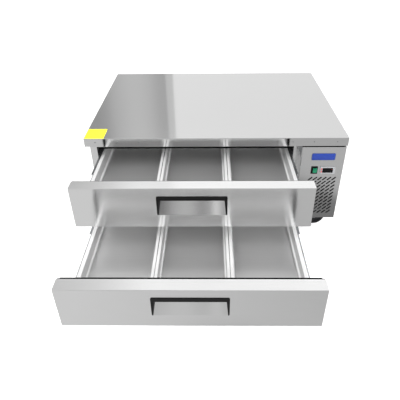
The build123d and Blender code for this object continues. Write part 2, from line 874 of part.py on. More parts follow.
# Sections of the slide members: a channel on the wall, one on the drawer, and between them a
# beam that runs in both, each strip from its near to its far side and from low to high
slide_half = slide_height / 2
beam_half = slide_half - slide_sheet - slide_gap
inner_half = beam_half - slide_sheet - slide_gap
web_near = (slide_thick - slide_sheet) / 2
web_far = (slide_thick + slide_sheet) / 2
beam_near = slide_sheet + slide_web_gap
beam_far = slide_thick - slide_sheet - slide_web_gap
inner_near = web_far + slide_web_gap
outer_strips = (
    (0, slide_sheet, -slide_half, slide_half),
    (0, slide_reach, slide_half - slide_sheet, slide_half),
    (0, slide_reach, -slide_half, slide_sheet - slide_half),
)
middle_strips = (
    (web_near, web_far, -beam_half, beam_half),
    (beam_near, beam_far, beam_half - slide_sheet, beam_half),
    (beam_near, beam_far, -beam_half, slide_sheet - beam_half),
)
inner_strips = (
    (slide_thick - slide_sheet, slide_thick, -inner_half, inner_half),
    (inner_near, slide_thick, inner_half - slide_sheet, inner_half),
    (inner_near, slide_thick, -inner_half, slide_sheet - inner_half),
)


def make_front_foam(face, top, inset, skin_left):
    """Block inside a drawer front with the raised plug on its back, before its pull is cut."""
    plug_inset = gasket_inset + gasket_width + plug_gap + skin_left
    with BuildPart() as foam:
        with BuildSketch(facing(face + front_sheet)):
            span(front_left + inset, front_right - inset, top - front_height + inset, top - inset)
        extrude(amount=front_sheet + skin_left - front_thick)
        with BuildSketch(facing(face + front_thick - skin_left)):
            span(front_left + plug_inset, front_right - plug_inset,
                 top - front_height + plug_inset, top - plug_inset)
        extrude(amount=-plug_depth)
    return foam


def make_front_core(face, top):
    """Foamed core of a drawer front, hollowed for its pull."""
    recess_top = top - pull_drop
    recess_bottom = recess_top - pull_height
    foam = make_front_foam(face, top, front_sheet, inner_sheet)
    with BuildPart() as core:
        add(foam.part)
        with BuildSketch(beside(front_middle - pull_width / 2 - front_sheet)):
            with BuildLine():
                Polyline((face, recess_bottom), (face + pull_depth, recess_top - pull_flat),
                         (face + pull_depth, recess_top), (face, recess_top), close=True)
            make_face()
            offset(amount=front_sheet, kind=Kind.INTERSECTION)
        extrude(amount=pull_width + 2 * front_sheet, mode=Mode.SUBTRACT)
    return core


def make_front_shell(face, top, core):
    """Outer sheet of a drawer front with the sloping recess of its pull, and its inner sheet."""
    recess_top = top - pull_drop
    recess_bottom = recess_top - pull_height
    inside = make_front_foam(face, top, front_sheet + foam_joint, 0)
    with BuildPart() as inner:
        add(inside.part)
        with BuildSketch(facing(face)):
            span(front_left, front_right, top - front_height, top)
        extrude(amount=inner_sheet - front_thick, mode=Mode.SUBTRACT)
        add(core.part, mode=Mode.SUBTRACT)
    with BuildPart() as shell:
        with BuildSketch(facing(face)):
            span(front_left, front_right, top - front_height, top)
        extrude(amount=-front_thick)
        fillet(shell.faces().sort_by(Axis.Y)[0].edges(), radius=front_bend)
        with BuildSketch(beside(front_middle - pull_width / 2)):
            with BuildLine():
                Polyline((face, recess_bottom), (face + pull_depth, recess_top - pull_flat),
                         (face + pull_depth, recess_top), (face, recess_top), close=True)
            make_face()
        extrude(amount=pull_width, mode=Mode.SUBTRACT)
        add(core.part, mode=Mode.SUBTRACT)
        with BuildSketch(facing(face + front_thick - inner_sheet)):
            span(front_left + front_sheet, front_right - front_sheet,
                 top - front_height + front_sheet, top - front_sheet)
        extrude(amount=-inner_sheet, mode=Mode.SUBTRACT)
        add(inner.part)
    return shell


def make_grip(face, top, shell, core):
    """Black grip round a pull: a bar along its top with an arm down each side."""
    recess_top = top - pull_drop
    recess_bottom = recess_top - pull_height
    half_outer = pull_width / 2 + grip_lap
    half_inner = pull_width / 2 - grip_fit
    arm_top = pull_width / 2 - grip_arm_top
    arm_bottom = pull_width / 2 - grip_arm_bottom
    bar_bottom = recess_top - grip_bar
    below = recess_bottom - overrun
    with BuildPart() as grip:
        with BuildSketch(facing(face)) as rim:
            span(front_middle - half_outer, front_middle + half_outer,
                 recess_bottom, recess_top + grip_lap)
            fillet(rim.vertices().group_by(Axis.Z)[-1], radius=grip_corner)
            with Locations((front_middle, 0)):
                Polygon((-arm_bottom, below), (-arm_top, bar_bottom), (arm_top, bar_bottom),
                        (arm_bottom, below), align=None, mode=Mode.SUBTRACT)
        extrude(amount=grip_proud)
        fillet(grip.faces().sort_by(Axis.Y)[0].edges(), radius=grip_edge)
        with BuildSketch(facing(face)):
            span(front_middle - half_inner, front_middle + half_inner,
                 recess_bottom, recess_top - grip_fit)
            with Locations((front_middle, 0)):
                Polygon((-arm_bottom, below), (-arm_top, bar_bottom), (arm_top, bar_bottom),
                        (arm_bottom, below), align=None, mode=Mode.SUBTRACT)
        extrude(amount=-grip_depth)
        add(shell.part, mode=Mode.SUBTRACT)
        add(core.part, mode=Mode.SUBTRACT)
    return grip


def make_gasket(face, top):
    """Soft seal on the back of a drawer front, a rounded ring."""
    inner = gasket_inset + gasket_width
    with BuildPart() as gasket:
        with BuildSketch(facing(face + front_thick)):
            span(front_left + gasket_inset, front_right - gasket_inset,
                 top - front_height + gasket_inset, top - gasket_inset)
            span(front_left + inner, front_right - inner,
                 top - front_height + inner, top - inner, mode=Mode.SUBTRACT)
        extrude(amount=-gasket_depth)
        fillet(gasket.faces().sort_by(Axis.Y)[-1].edges(), radius=gasket_round)
    return gasket


def make_basket(near, seat):
    """Drawer frame: side rails, end rails and flanges that the pans' rims lie on."""
    left = opening_left + slide_thick
    right = opening_right - slide_thick
    far = near + basket_length
    side = basket_sheet + basket_side_flange
    end = basket_sheet + basket_end_flange
    with BuildPart() as basket:
        with BuildSketch(level(seat)):
            span(left, right, near, far)
            span(left + side, right - side, near + end, far - end, mode=Mode.SUBTRACT)
        extrude(amount=-basket_sheet)
        with BuildSketch(level(seat)):
            span(left, right, near, far)
            span(left + basket_sheet, right - basket_sheet,
                 near + basket_sheet, far - basket_sheet, mode=Mode.SUBTRACT)
        extrude(amount=-basket_height)
        with BuildSketch(level(seat - basket_height)):
            span(left, right, near, far)
            span(left + basket_foot, right - basket_foot,
                 near + basket_foot, far - basket_foot, mode=Mode.SUBTRACT)
        extrude(amount=basket_sheet)
    return basket


def make_dividers(near, seat):
    """Two folded bars between the end rails, each under the rims of two pans."""
    end = basket_sheet + basket_end_flange
    with BuildPart() as dividers:
        with BuildSketch(facing(near + end)):
            with Locations((opening_middle, seat - divider_height / 2)):
                with GridLocations(pan_pitch, 0, pan_count - 1, 1):
                    Rectangle(divider_width, divider_height)
            with Locations((opening_middle, seat - divider_height / 2 - basket_sheet)):
                with GridLocations(pan_pitch, 0, pan_count - 1, 1):
                    Rectangle(divider_width - 2 * basket_sheet, divider_height,
                              mode=Mode.SUBTRACT)
        extrude(amount=2 * end - basket_length)
    return dividers


def make_tub(mouth, wall, depth):
    """Solid of a pan's tub, grown by its wall: tapered, with round corners and a round foot."""
    with BuildPart() as tub:
        with BuildSketch(mouth):
            RectangleRounded(pan_width - 2 * pan_rim + 2 * wall,
                             pan_length - 2 * pan_rim + 2 * wall, pan_corner + wall)
        extrude(amount=-depth - wall, taper=pan_taper)
        fillet(tub.faces().sort_by(Axis.Z)[0].edges(), radius=pan_fillet + wall)
    return tub


def make_pan(x, middle_y, rim_top):
    """Food pan: a pressed tub under a flat rim."""
    mouth = Plane((x, middle_y, rim_top))
    outside = make_tub(mouth, pan_sheet, pan_depth)
    inside = make_tub(mouth, 0, pan_depth)
    with BuildPart() as pan:
        add(outside.part)
        with BuildSketch(mouth):
            RectangleRounded(pan_width, pan_length, pan_rim_corner)
        extrude(amount=-pan_rim_thick)
        fillet(pan.faces().sort_by(Axis.Z)[-1].edges(), radius=pan_rim_thick / 3)
        add(inside.part, mode=Mode.SUBTRACT)
    return pan


# The two drawers, each with its slides, from the wall members to the ones it carries
drawers = (
    ("upper", upper_top, upper_opening),
    ("lower", lower_top, lower_opening),
)
for drawer, top, opened in drawers:
    face = closed_face - opened
    basket_near = face + front_thick + plug_depth
    basket_middle = basket_near + basket_length / 2
    rim_top = top - rim_drop
    seat = rim_top - pan_rim_thick
    slide_z = seat - slide_drop - slide_half

    slide_outer = make_slide(slide_front, slide_z, outer_strips)
    slide_outer.part.label = f"{drawer}_slide_outer"
    export_step(slide_outer.part, f"parts/{drawer}_slide_outer.step")

    slide_middle = make_slide(slide_front - opened / 2, slide_z, middle_strips)
    slide_middle.part.label = f"{drawer}_slide_middle"
    export_step(slide_middle.part, f"parts/{drawer}_slide_middle.step")

    slide_inner = make_slide(slide_front - opened, slide_z, inner_strips)
    slide_inner.part.label = f"{drawer}_slide_inner"
    export_step(slide_inner.part, f"parts/{drawer}_slide_inner.step")

    front_core = make_front_core(face, top)
    front_core.part.label = f"{drawer}_front_core"
    export_step(front_core.part, f"parts/{drawer}_front_core.step")

    front_shell = make_front_shell(face, top, front_core)
    front_shell.part.label = f"{drawer}_front_shell"
    export_step(front_shell.part, f"parts/{drawer}_front_shell.step")

    grip = make_grip(face, top, front_shell, front_core)
    grip.part.label = f"{drawer}_grip"
    export_step(grip.part, f"parts/{drawer}_grip.step")

    gasket = make_gasket(face, top)
    gasket.part.label = f"{drawer}_gasket"
    export_step(gasket.part, f"parts/{drawer}_gasket.step")

    basket = make_basket(basket_near, seat)
    basket.part.label = f"{drawer}_basket"
    export_step(basket.part, f"parts/{drawer}_basket.step")

    dividers = make_dividers(basket_near, seat)
    dividers.part.label = f"{drawer}_dividers"
    export_step(dividers.part, f"parts/{drawer}_dividers.step")

    for pan_name, place in (("left", -1), ("middle", 0), ("right", 1)):
        pan = make_pan(opening_middle + place * pan_pitch, basket_middle, rim_top)
        pan.part.label = f"{drawer}_pan_{pan_name}"
        export_step(pan.part, f"parts/{drawer}_pan_{pan_name}.step")

# Casters: a bolted plate with its raceway, and under it a fork that swivels on its kingpin
caster_corners = (
    ("front_left", -kingpin_x, -kingpin_y, True),
    ("front_right", kingpin_x, -kingpin_y, True),
    ("back_left", -kingpin_x, kingpin_y, False),
    ("back_right", kingpin_x, kingpin_y, False),
)
plate_bottom = body_bottom - plate_thick
crown_top = plate_bottom - raceway_height - fork_gap
cheek_reach = wheel_width / 2 + cheek_gap
with BuildPart() as caster_plates:
    with BuildSketch(level(plate_bottom)):
        with GridLocations(2 * kingpin_x, 2 * kingpin_y, 2, 2):
            RectangleRounded(plate_length, plate_width, plate_corner)
    extrude(amount=plate_thick)
    with BuildSketch(level(plate_bottom)):
        with GridLocations(2 * kingpin_x, 2 * kingpin_y, 2, 2):
            Circle(raceway_radius)
    extrude(amount=-raceway_height)
    with BuildSketch(level(body_bottom)):
        with GridLocations(2 * kingpin_x, 2 * kingpin_y, 2, 2):
            Circle(kingpin_radius + axle_fit)
    extrude(amount=-plate_thick - raceway_height, mode=Mode.SUBTRACT)
caster_plates.part.label = "caster_plates"
export_step(caster_plates.part, "parts/caster_plates.step")


def make_fork(x, y, braked):
    """Caster fork: crown, kingpin, two cheeks and the axle with its heads."""
    wheel_x = x + wheel_trail
    pedal_x = x + pedal_offset
    with BuildPart() as fork:
        with BuildSketch(level(crown_top)):
            with Locations((x, y)):
                Circle(raceway_radius)
        extrude(amount=-fork_crown)
        with BuildSketch(level(body_bottom - fork_gap)):
            with Locations((x, y)):
                Circle(kingpin_radius)
        extrude(amount=crown_top - body_bottom)
        for cheek_y in (y - cheek_reach, y + cheek_reach + fork_sheet):
            with BuildSketch(facing(cheek_y)):
                with BuildLine():
                    Line((x - fork_top, crown_top), (x + fork_top, crown_top))
                    CenterArc((wheel_x, wheel_radius), fork_foot, start_angle=0, arc_size=full_turn)
                    if braked:
                        CenterArc((pedal_x, pedal_height), pedal_lug, start_angle=0,
                                  arc_size=full_turn)
                make_hull()
            extrude(amount=fork_sheet)
        with BuildSketch(facing(y - cheek_reach - fork_sheet)):
            with Locations((wheel_x, wheel_radius)):
                Circle(axle_radius)
            if braked:
                with Locations((pedal_x, pedal_height)):
                    Circle(pedal_pin)
        extrude(amount=-2 * (cheek_reach + fork_sheet))
        for head_y in (y - cheek_reach - fork_sheet, y + cheek_reach + fork_sheet + axle_head):
            with BuildSketch(facing(head_y)):
                with Locations((wheel_x, wheel_radius)):
                    RegularPolygon(axle_head_radius, side_count=6)
            extrude(amount=axle_head)
    return fork


def make_wheel(x, y):
    """Caster wheel: a rounded tread round a dished disc, with a boss and a bore."""
    wheel_x = x + wheel_trail
    boss = cheek_reach - fork_gap
    tread = wheel_width / 2
    dish = tread - wheel_dish
    bore = axle_radius + axle_fit
    with BuildPart() as wheel:
        with BuildSketch(Plane((wheel_x, y, wheel_radius), x_dir=(0, 1, 0), z_dir=(1, 0, 0))):
            with BuildLine():
                Polyline((-boss, bore), (-boss, wheel_boss), (-dish, wheel_boss),
                         (-dish, wheel_rim), (-tread, wheel_rim),
                         (-tread, wheel_radius - wheel_round))
                RadiusArc((-tread, wheel_radius - wheel_round),
                          (wheel_round - tread, wheel_radius), wheel_round)
                Line((wheel_round - tread, wheel_radius), (tread - wheel_round, wheel_radius))
                RadiusArc((tread - wheel_round, wheel_radius),
                          (tread, wheel_radius - wheel_round), wheel_round)
                Polyline((tread, wheel_radius - wheel_round), (tread, wheel_rim),
                         (dish, wheel_rim), (dish, wheel_boss), (boss, wheel_boss),
                         (boss, bore), (-boss, bore))
            make_face()
        revolve(axis=Axis((wheel_x, y, wheel_radius), (0, 1, 0)))
    return wheel


def make_pedal(x, y):
    """Brake pedal: a boss on its pin, a foot lever, and a shoe that nears the tread."""
    pedal_x = x + pedal_offset
    width = cheek_reach - fork_gap
    with BuildPart() as pedal:
        with BuildSketch(facing(y - width)):
            with BuildLine():
                CenterArc((pedal_x, pedal_height), pedal_boss, start_angle=0, arc_size=full_turn)
                CenterArc((pedal_x + pedal_reach, pedal_height - pedal_slope), pedal_tip,
                          start_angle=0, arc_size=full_turn)
            make_hull()
            with Locations((pedal_x, pedal_height)):
                with PolarLocations(shoe_reach, 1, start_angle=shoe_angle):
                    Circle(shoe_radius)
                Circle(pedal_pin + axle_fit, mode=Mode.SUBTRACT)
        extrude(amount=-2 * width)
    return pedal


for corner, x, y, braked in caster_corners:
    caster_fork = make_fork(x, y, braked)
    caster_fork.part.label = f"caster_fork_{corner}"
    export_step(caster_fork.part, f"parts/caster_fork_{corner}.step")

    caster_wheel = make_wheel(x, y)
    caster_wheel.part.label = f"caster_wheel_{corner}"
    export_step(caster_wheel.part, f"parts/caster_wheel_{corner}.step")

    if braked:
        brake_pedal = make_pedal(x, y)
        brake_pedal.part.label = f"brake_pedal_{corner}"
        export_step(brake_pedal.part, f"parts/brake_pedal_{corner}.step")
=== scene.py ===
"""Looks of a refrigerated chef base with two open drawers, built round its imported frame."""

import logging
import math
from collections.abc import Iterable
from dataclasses import dataclass
from enum import Enum

import bmesh
import bpy
from mathutils import Matrix, Vector


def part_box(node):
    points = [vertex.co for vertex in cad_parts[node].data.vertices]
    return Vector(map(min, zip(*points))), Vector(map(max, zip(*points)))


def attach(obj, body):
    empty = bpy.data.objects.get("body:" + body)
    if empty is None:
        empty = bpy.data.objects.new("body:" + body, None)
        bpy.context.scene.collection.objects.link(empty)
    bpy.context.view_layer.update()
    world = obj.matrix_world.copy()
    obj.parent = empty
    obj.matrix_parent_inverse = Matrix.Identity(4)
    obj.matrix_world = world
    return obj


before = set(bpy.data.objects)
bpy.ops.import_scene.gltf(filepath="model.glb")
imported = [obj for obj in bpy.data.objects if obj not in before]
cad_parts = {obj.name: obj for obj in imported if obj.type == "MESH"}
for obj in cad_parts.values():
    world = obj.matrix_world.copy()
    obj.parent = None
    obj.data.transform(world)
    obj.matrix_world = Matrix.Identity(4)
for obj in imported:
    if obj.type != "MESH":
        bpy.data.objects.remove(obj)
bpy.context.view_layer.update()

log = logging.getLogger("chef_base")

MM = 0.001

Colour = tuple[float, float, float, float]
Value = float | Colour | bpy.types.NodeSocket
Span = tuple[float, float]
Point = tuple[float, float, float]
# A place from 0 to 1, or a heading in degrees, and its colour
Stops = tuple[tuple[float, str], ...]
# Where a zone starts, as a share of the piece, its colour and its metallic share
Zones = tuple[tuple[float, str, float], ...]

SMOOTH = {"interpolation_type": "SMOOTHSTEP"}
MIXED = {"data_type": "RGBA"}
TINTED = {"data_type": "RGBA", "blend_type": "MULTIPLY"}

# A noise keeps between these two, but for a few peaks
NOISE: Span = (0.3, 0.7)

# Faces that meet at more than this keep a sharp edge
SHARP_DEGREES = 35.0

# How far a brushed pattern is drawn out along its lines
DRAWN_OUT = 0.02


def linear(code: str) -> Colour:
    """Turns an sRGB hex value into the linear colour that a shader takes.

    Args:
        code: six hex digits with a leading hash.

    Returns:
        Linear red, green and blue, and full alpha.
    """
    parts = [int(code[i:i + 2], 16) / 255 for i in (1, 3, 5)]
    knee, slope, offset, power = 0.04045, 12.92, 0.055, 2.4
    out = [c / slope if c <= knee else ((c + offset) / (1 + offset)) ** power for c in parts]
    return (*out, 1.0)


def grey(level: float) -> Colour:
    """Gives the linear grey of a level, which may be brighter than white."""
    return (level, level, level, 1.0)


def add_node(
    tree: bpy.types.NodeTree,
    kind: str,
    settings: dict[str, object] | None = None,
    inputs: dict[str | int, object] | None = None,
) -> bpy.types.Node:
    """Adds one node with its settings, values and links.

    Args:
        tree: the node tree it goes into.
        kind: the node's type, without its leading words.
        settings: attributes of the node.
        inputs: a value for each input, or the output socket that it is linked to.

    Returns:
        The new node.
    """
    node = tree.nodes.new("ShaderNode" + kind)
    for key, value in (settings or {}).items():
        setattr(node, key, value)
    for key, value in (inputs or {}).items():
        if isinstance(value, bpy.types.NodeSocket):
            tree.links.new(value, node.inputs[key])
        else:
            node.inputs[key].default_value = value
    return node


def between(
    value: bpy.types.NodeSocket,
    reach: Span,
    levels: tuple[Value, Value] = (0.0, 1.0),
) -> dict[str | int, object]:
    """Gives the inputs that carry a value from one range to another.

    Args:
        value: the value's output.
        reach: the value's low and high.
        levels: what these become.

    Returns:
        The inputs by name.
    """
    return {"Value": value, "From Min": reach[0], "From Max": reach[1],
            "To Min": levels[0], "To Max": levels[1]}


def set_stops(ramp: bpy.types.Node, stops: Iterable[tuple[float, Colour]]) -> None:
    """Sets the colours of a ramp.

    Args:
        ramp: the new ramp's node.
        stops: the place of each stop, from 0 to 1, and its colour, in order.
    """
    band = ramp.color_ramp.elements
    band.remove(band[-1])
    first, *rest = stops
    band[0].position, band[0].color = first
    for place, colour in rest:
        band.new(place).color = colour


def seen_itself(tree: bpy.types.NodeTree, rays: bpy.types.NodeOutputs) -> bpy.types.NodeSocket:
    """Tells a thing that the camera sees itself from its mirror image and its light.

    Args:
        tree: the node tree it goes into.
        rays: what is known of the ray.

    Returns:
        An output that is 1 for a ray from the camera, also through something clear.
    """
    return add_node(tree, "Math", {"operation": "MAXIMUM"},
                    {0: rays["Is Camera Ray"], 1: rays["Is Transmission Ray"]}).outputs[0]


def blank_material(name: str) -> tuple[bpy.types.Material, bpy.types.NodeTree]:
    """Makes an empty material.

    Args:
        name: the material's name.

    Returns:
        The material and its node tree.
    """
    made = bpy.data.materials.new(name)
    made.use_nodes = True
    made.node_tree.nodes.clear()
    return made, made.node_tree


class Grain(Enum):
    """Which way the brushing of a sheet runs: the stretch of its pattern along X, Y and Z."""

    ACROSS = (DRAWN_OUT, 1.0, 1.0)
    DEEP = (1.0, DRAWN_OUT, 1.0)
    UPRIGHT = (1.0, 1.0, DRAWN_OUT)
    NONE = (1.0, 1.0, 1.0)


@dataclass(frozen=True)
class BrushedSteel:
    """Metal sheet, brushed with a belt: soft streaks along the grain, blurred reflections.

    The belt's lines are 0.2 mm apart, too fine to show, so they are drawn a few mm wide. Satin
    sheet scatters part of its light, which a metallic share under 1 stands for. Anisotropy spreads
    a mirror image square to the lines, and wear is how unevenly the sheet has been handled.
    """

    name: str
    tint: str
    roughness: float
    grain: Grain
    line_mm: float = 3.0
    cloud_mm: float = 160.0
    depth_mm: float = 0.006
    relief: float = 0.25
    contrast: float = 0.04
    anisotropy: float = 0.6
    metallic: float = 1.0
    wear: float = 0.04

    def tone(self, tree: bpy.types.NodeTree) -> Value:
        """Gives the colour before the streaks, as a value or a socket."""
        return linear(self.tint)

    def shine(self, tree: bpy.types.NodeTree) -> Value:
        """Gives the metallic share, as a value or a socket."""
        return self.metallic

    def make(self) -> bpy.types.Material:
        """Builds the material.

        Returns:
            The new material.
        """
        made, tree = blank_material(self.name)
        place = add_node(tree, "TexCoord").outputs["Object"]
        stretched = add_node(tree, "Mapping", {"vector_type": "POINT"},
                             {"Vector": place, "Scale": self.grain.value}).outputs[0]
        lines = add_node(tree, "TexNoise", {"noise_dimensions": "3D"},
                         {"Vector": stretched, "Scale": 1 / (self.line_mm * MM),
                          "Detail": 4.0, "Roughness": 0.6}).outputs["Fac"]
        clouds = add_node(tree, "TexNoise", {"noise_dimensions": "3D"},
                          {"Vector": place, "Scale": 1 / (self.cloud_mm * MM),
                           "Detail": 3.0, "Roughness": 0.5}).outputs["Fac"]
        streaks = add_node(tree, "MapRange", None,
                           between(lines, NOISE, (1 - self.contrast, 1.0))).outputs[0]
        colour = add_node(tree, "Mix", TINTED,
                          {"Factor": 1.0, "A": self.tone(tree), "B": streaks}).outputs["Result"]
        handled = (self.roughness * (1 - self.wear), self.roughness * (1 + self.wear))
        rough = add_node(tree, "MapRange", None, between(clouds, NOISE, handled)).outputs[0]
        bump = add_node(tree, "Bump", None,
                        {"Height": lines, "Strength": self.relief,
                         "Distance": self.depth_mm * MM}).outputs[0]
        x, y, z = self.grain.value
        across = add_node(tree, "CombineXYZ", None, {"X": x, "Y": y, "Z": z}).outputs[0]
        shader = add_node(tree, "BsdfPrincipled", None,
                          {"Base Color": colour, "Metallic": self.shine(tree),
                           "Roughness": rough, "Normal": bump, "Tangent": across,
                           "Anisotropic": self.anisotropy})
        add_node(tree, "OutputMaterial", None, {"Surface": shader.outputs[0]})
        return made


# Painted light: a dull floor, a pale bead where it turns up, grey walls and a pale rim; the bead
# and rim are whiter and less metallic as painted highlights
PAN_PAINTED_LIGHT_ZONES: Zones = (
    (0.0, "#cecece", 0.66), (0.04, "#cecece", 0.66), (0.10, "#ffffff", 0.15),
    (0.20, "#ffffff", 0.15), (0.30, "#dcdcdc", 0.45), (0.88, "#dcdcdc", 0.45),
    (0.97, "#dedede", 0.25),
)

# The brushed outer sheet, and at the back the inner one, made paler and less metallic as painted
# light that lifts its shade
FRONT_ZONES: Zones = ((0.0, "#eeeeee", 1.0), (0.88, "#eeeeee", 1.0), (0.90, "#f0f0f0", 0.4))


@dataclass(frozen=True)
class ZonedSteel(BrushedSteel):
    """Steel whose colour and metallic share change from zone to zone along an axis, which paints
    light and shade into it.
    """

    zones: Zones = PAN_PAINTED_LIGHT_ZONES
    axis: str = "Z"

    def ramp(self, tree: bpy.types.NodeTree, colours: list[Colour]) -> bpy.types.NodeSocket:
        """Spreads one colour for each zone along the axis.

        Args:
            tree: the node tree it goes into.
            colours: the zones' colours.

        Returns:
            The output of the new ramp.
        """
        place = add_node(tree, "TexCoord").outputs["Generated"]
        along = add_node(tree, "SeparateXYZ", None, {0: place}).outputs[self.axis]
        ramp = add_node(tree, "ValToRGB", None, {0: along})
        set_stops(ramp, zip((start for start, _, _ in self.zones), colours))
        return ramp.outputs[0]

    def tone(self, tree: bpy.types.NodeTree) -> Value:
        """Gives the zones' colours."""
        return self.ramp(tree, [linear(code) for _, code, _ in self.zones])

    def shine(self, tree: bpy.types.NodeTree) -> Value:
        """Gives the zones' metallic shares."""
        return self.ramp(tree, [grey(share) for _, _, share in self.zones])


@dataclass(frozen=True)
class Moulded:
    """Moulded plastic, rubber or paint: one colour with the fine pebble of the mould.

    The pebble is drawn coarse enough to show. Gloss is under the usual half where a part should
    mirror little light; on the grip's black plastic, the opening strip and the condenser fins this
    darkening is painted shade.
    """

    name: str
    tint: str
    roughness: float
    pebble_mm: float = 1.2
    cloud_mm: float = 40.0
    depth_mm: float = 0.08
    relief: float = 0.4
    contrast: float = 0.15
    wear: float = 0.05
    metallic: float = 0.0
    ior: float = 1.5
    coat: float = 0.0
    glow: float = 0.0
    gloss: float = 0.5

    def make(self) -> bpy.types.Material:
        """Builds the material.

        Returns:
            The new material.
        """
        made, tree = blank_material(self.name)
        place = add_node(tree, "TexCoord").outputs["Object"]
        pebble = add_node(tree, "TexNoise", {"noise_dimensions": "3D"},
                          {"Vector": place, "Scale": 1 / (self.pebble_mm * MM),
                           "Detail": 2.0}).outputs["Fac"]
        clouds = add_node(tree, "TexNoise", {"noise_dimensions": "3D"},
                          {"Vector": place, "Scale": 1 / (self.cloud_mm * MM),
                           "Detail": 3.0}).outputs["Fac"]
        shade = add_node(tree, "MapRange", None,
                         between(clouds, NOISE, (1 - self.contrast, 1.0))).outputs[0]
        colour = add_node(tree, "Mix", TINTED,
                          {"Factor": 1.0, "A": linear(self.tint), "B": shade}).outputs["Result"]
        handled = (self.roughness - self.wear, self.roughness + self.wear)
        rough = add_node(tree, "MapRange", None, between(pebble, NOISE, handled)).outputs[0]
        bump = add_node(tree, "Bump", None,
                        {"Height": pebble, "Strength": self.relief,
                         "Distance": self.depth_mm * MM}).outputs[0]
        shader = add_node(tree, "BsdfPrincipled", None,
                          {"Base Color": colour, "Metallic": self.metallic, "IOR": self.ior,
                           "Roughness": rough, "Normal": bump, "Coat Weight": self.coat,
                           "Specular IOR Level": self.gloss,
                           "Emission Color": linear(self.tint), "Emission Strength": self.glow})
        add_node(tree, "OutputMaterial", None, {"Surface": shader.outputs[0]})
        return made


FINISHES = {
    finish.name: finish
    for finish in (
        # Belt-brushed to a near mirror, with hard-edged images stretched towards the viewer
        BrushedSteel("brushed_stainless_worktop", "#dcdcdc", 0.08, Grain.ACROSS, line_mm=4.0,
                     contrast=0.03, anisotropy=1.0),
        # Brushed along the drawer, so that the rails below it show as upright smears
        ZonedSteel("brushed_stainless_front", "#eeeeee", 0.15, Grain.ACROSS, contrast=0.03,
                   anisotropy=1.0, zones=FRONT_ZONES, axis="Y"),
        # Brushed upright and less finely: an even grey with faint streaks
        BrushedSteel("brushed_stainless_body", "#c4c4c4", 0.26, Grain.UPRIGHT),
        # Thin bright sheet round the openings and the slots
        BrushedSteel("brushed_stainless_cover", "#e6e6e6", 0.16, Grain.ACROSS),
        # Satin, pale from every side
        BrushedSteel("satin_stainless_rail", "#e8e8e8", 0.30, Grain.DEEP, line_mm=4.0,
                     metallic=0.35),
        # Rolled steel, dull, its dark grey a painted shade for the cabinet's shadowed inside
        BrushedSteel("liner_steel_painted_shade", "#5c5e60", 0.32, Grain.UPRIGHT, line_mm=4.0,
                     metallic=0.85),
        # Pressed; its dull floor and its bright beads and rim are painted shade and painted
        # highlights
        ZonedSteel("pressed_stainless_pan", "#d2d2d2", 0.30, Grain.ACROSS, line_mm=5.0,
                   contrast=0.03, anisotropy=0.2, wear=0.0),
        # Rolled channels under thin zinc, a cool grey with long faint lines
        BrushedSteel("plated_slide_steel", "#a4a6a8", 0.26, Grain.DEEP, metallic=0.85),
        # Dipped in zinc, which sets in cloudy crystals
        BrushedSteel("dipped_galvanised_sheet", "#b4b8ba", 0.40, Grain.NONE, line_mm=12.0,
                     contrast=0.18),
        # Electroplated, a finer and brighter grey than the dipped sheet
        BrushedSteel("plated_zinc_steel", "#c2c4c8", 0.30, Grain.NONE, line_mm=5.0,
                     contrast=0.08),
        # Foil straight from the rolls, whitish with upright lines where the fins part
        BrushedSteel("rolled_aluminium_fin", "#c8cacc", 0.35, Grain.UPRIGHT, line_mm=2.0,
                     contrast=0.12),
        # Drawn bright and since grown a little brown in patches
        BrushedSteel("drawn_copper_tube", "#c98560", 0.30, Grain.NONE, line_mm=6.0,
                     contrast=0.2),
        # A soft black with its gloss cut low, a painted shade for the grip's shadowed underside
        Moulded("moulded_black_abs", "#0b0b0b", 0.50, gloss=0.15),
        # Finer mould, an even grey
        Moulded("moulded_grey_abs", "#808183", 0.40, contrast=0.05),
        # Rubbery keys, red and matt
        Moulded("moulded_red_silicone", "#a8484a", 0.45),
        # Polished mould with a lamp behind it, glossy and faintly lit
        Moulded("moulded_green_polycarbonate", "#136648", 0.22, pebble_mm=4.0, depth_mm=0.02,
                glow=0.2),
        # Extruded soft, black without a highlight
        Moulded("extruded_gasket_vinyl", "#0c0c0d", 0.55, gloss=0.1),
        # The same vinyl, near black and dull: a painted shadow line under the worktop's lip, the
        # darkest line of all
        Moulded("strip_vinyl_painted_shadow", "#030303", 0.60, gloss=0.05),
        # Cast round the wheel, black with the greyish bloom of rolling
        Moulded("cast_polyurethane_tread", "#1c1c1e", 0.55, pebble_mm=3.0),
        # Glass fibre in it roughens the surface a little
        Moulded("moulded_black_polyamide", "#141415", 0.50),
        # Sprayed thick, black with round highlights
        Moulded("sprayed_compressor_enamel", "#101010", 0.28, pebble_mm=3.0, coat=0.4),
        # Foamed in place, yellowish and quite matt
        Moulded("foamed_polyurethane", "#e3cf98", 0.85, pebble_mm=2.5, depth_mm=0.3),
        # Fins dipped in black epoxy, near black so that they also stand in as painted shade behind
        # the slots
        Moulded("epoxy_fin_painted_shade", "#08090a", 0.60, pebble_mm=2.0, gloss=0.15),
        # Fired on steel, deep blue and glossy
        Moulded("fired_blue_enamel", "#142c74", 0.18, pebble_mm=6.0, depth_mm=0.01,
                contrast=0.05, coat=0.4),
        # Cast round its chip, dimly lit
        Moulded("cast_amber_epoxy", "#b23a24", 0.25, pebble_mm=2.0, depth_mm=0.01, glow=0.2),
        # Coated film, flat bright yellow
        Moulded("coated_yellow_film", "#ffff2c", 0.45, pebble_mm=2.0, depth_mm=0.02,
                contrast=0.03),
        # Polished mould, black with a small sharp highlight
        Moulded("moulded_smoked_acrylic", "#050506", 0.12, pebble_mm=8.0, depth_mm=0.01,
                gloss=0.2),
        # Cold-headed and tumbled, bright with soft edges
        Moulded("tumbled_screw_steel", "#b9bbbd", 0.30, pebble_mm=1.0, depth_mm=0.02,
                metallic=1.0),
    )
}

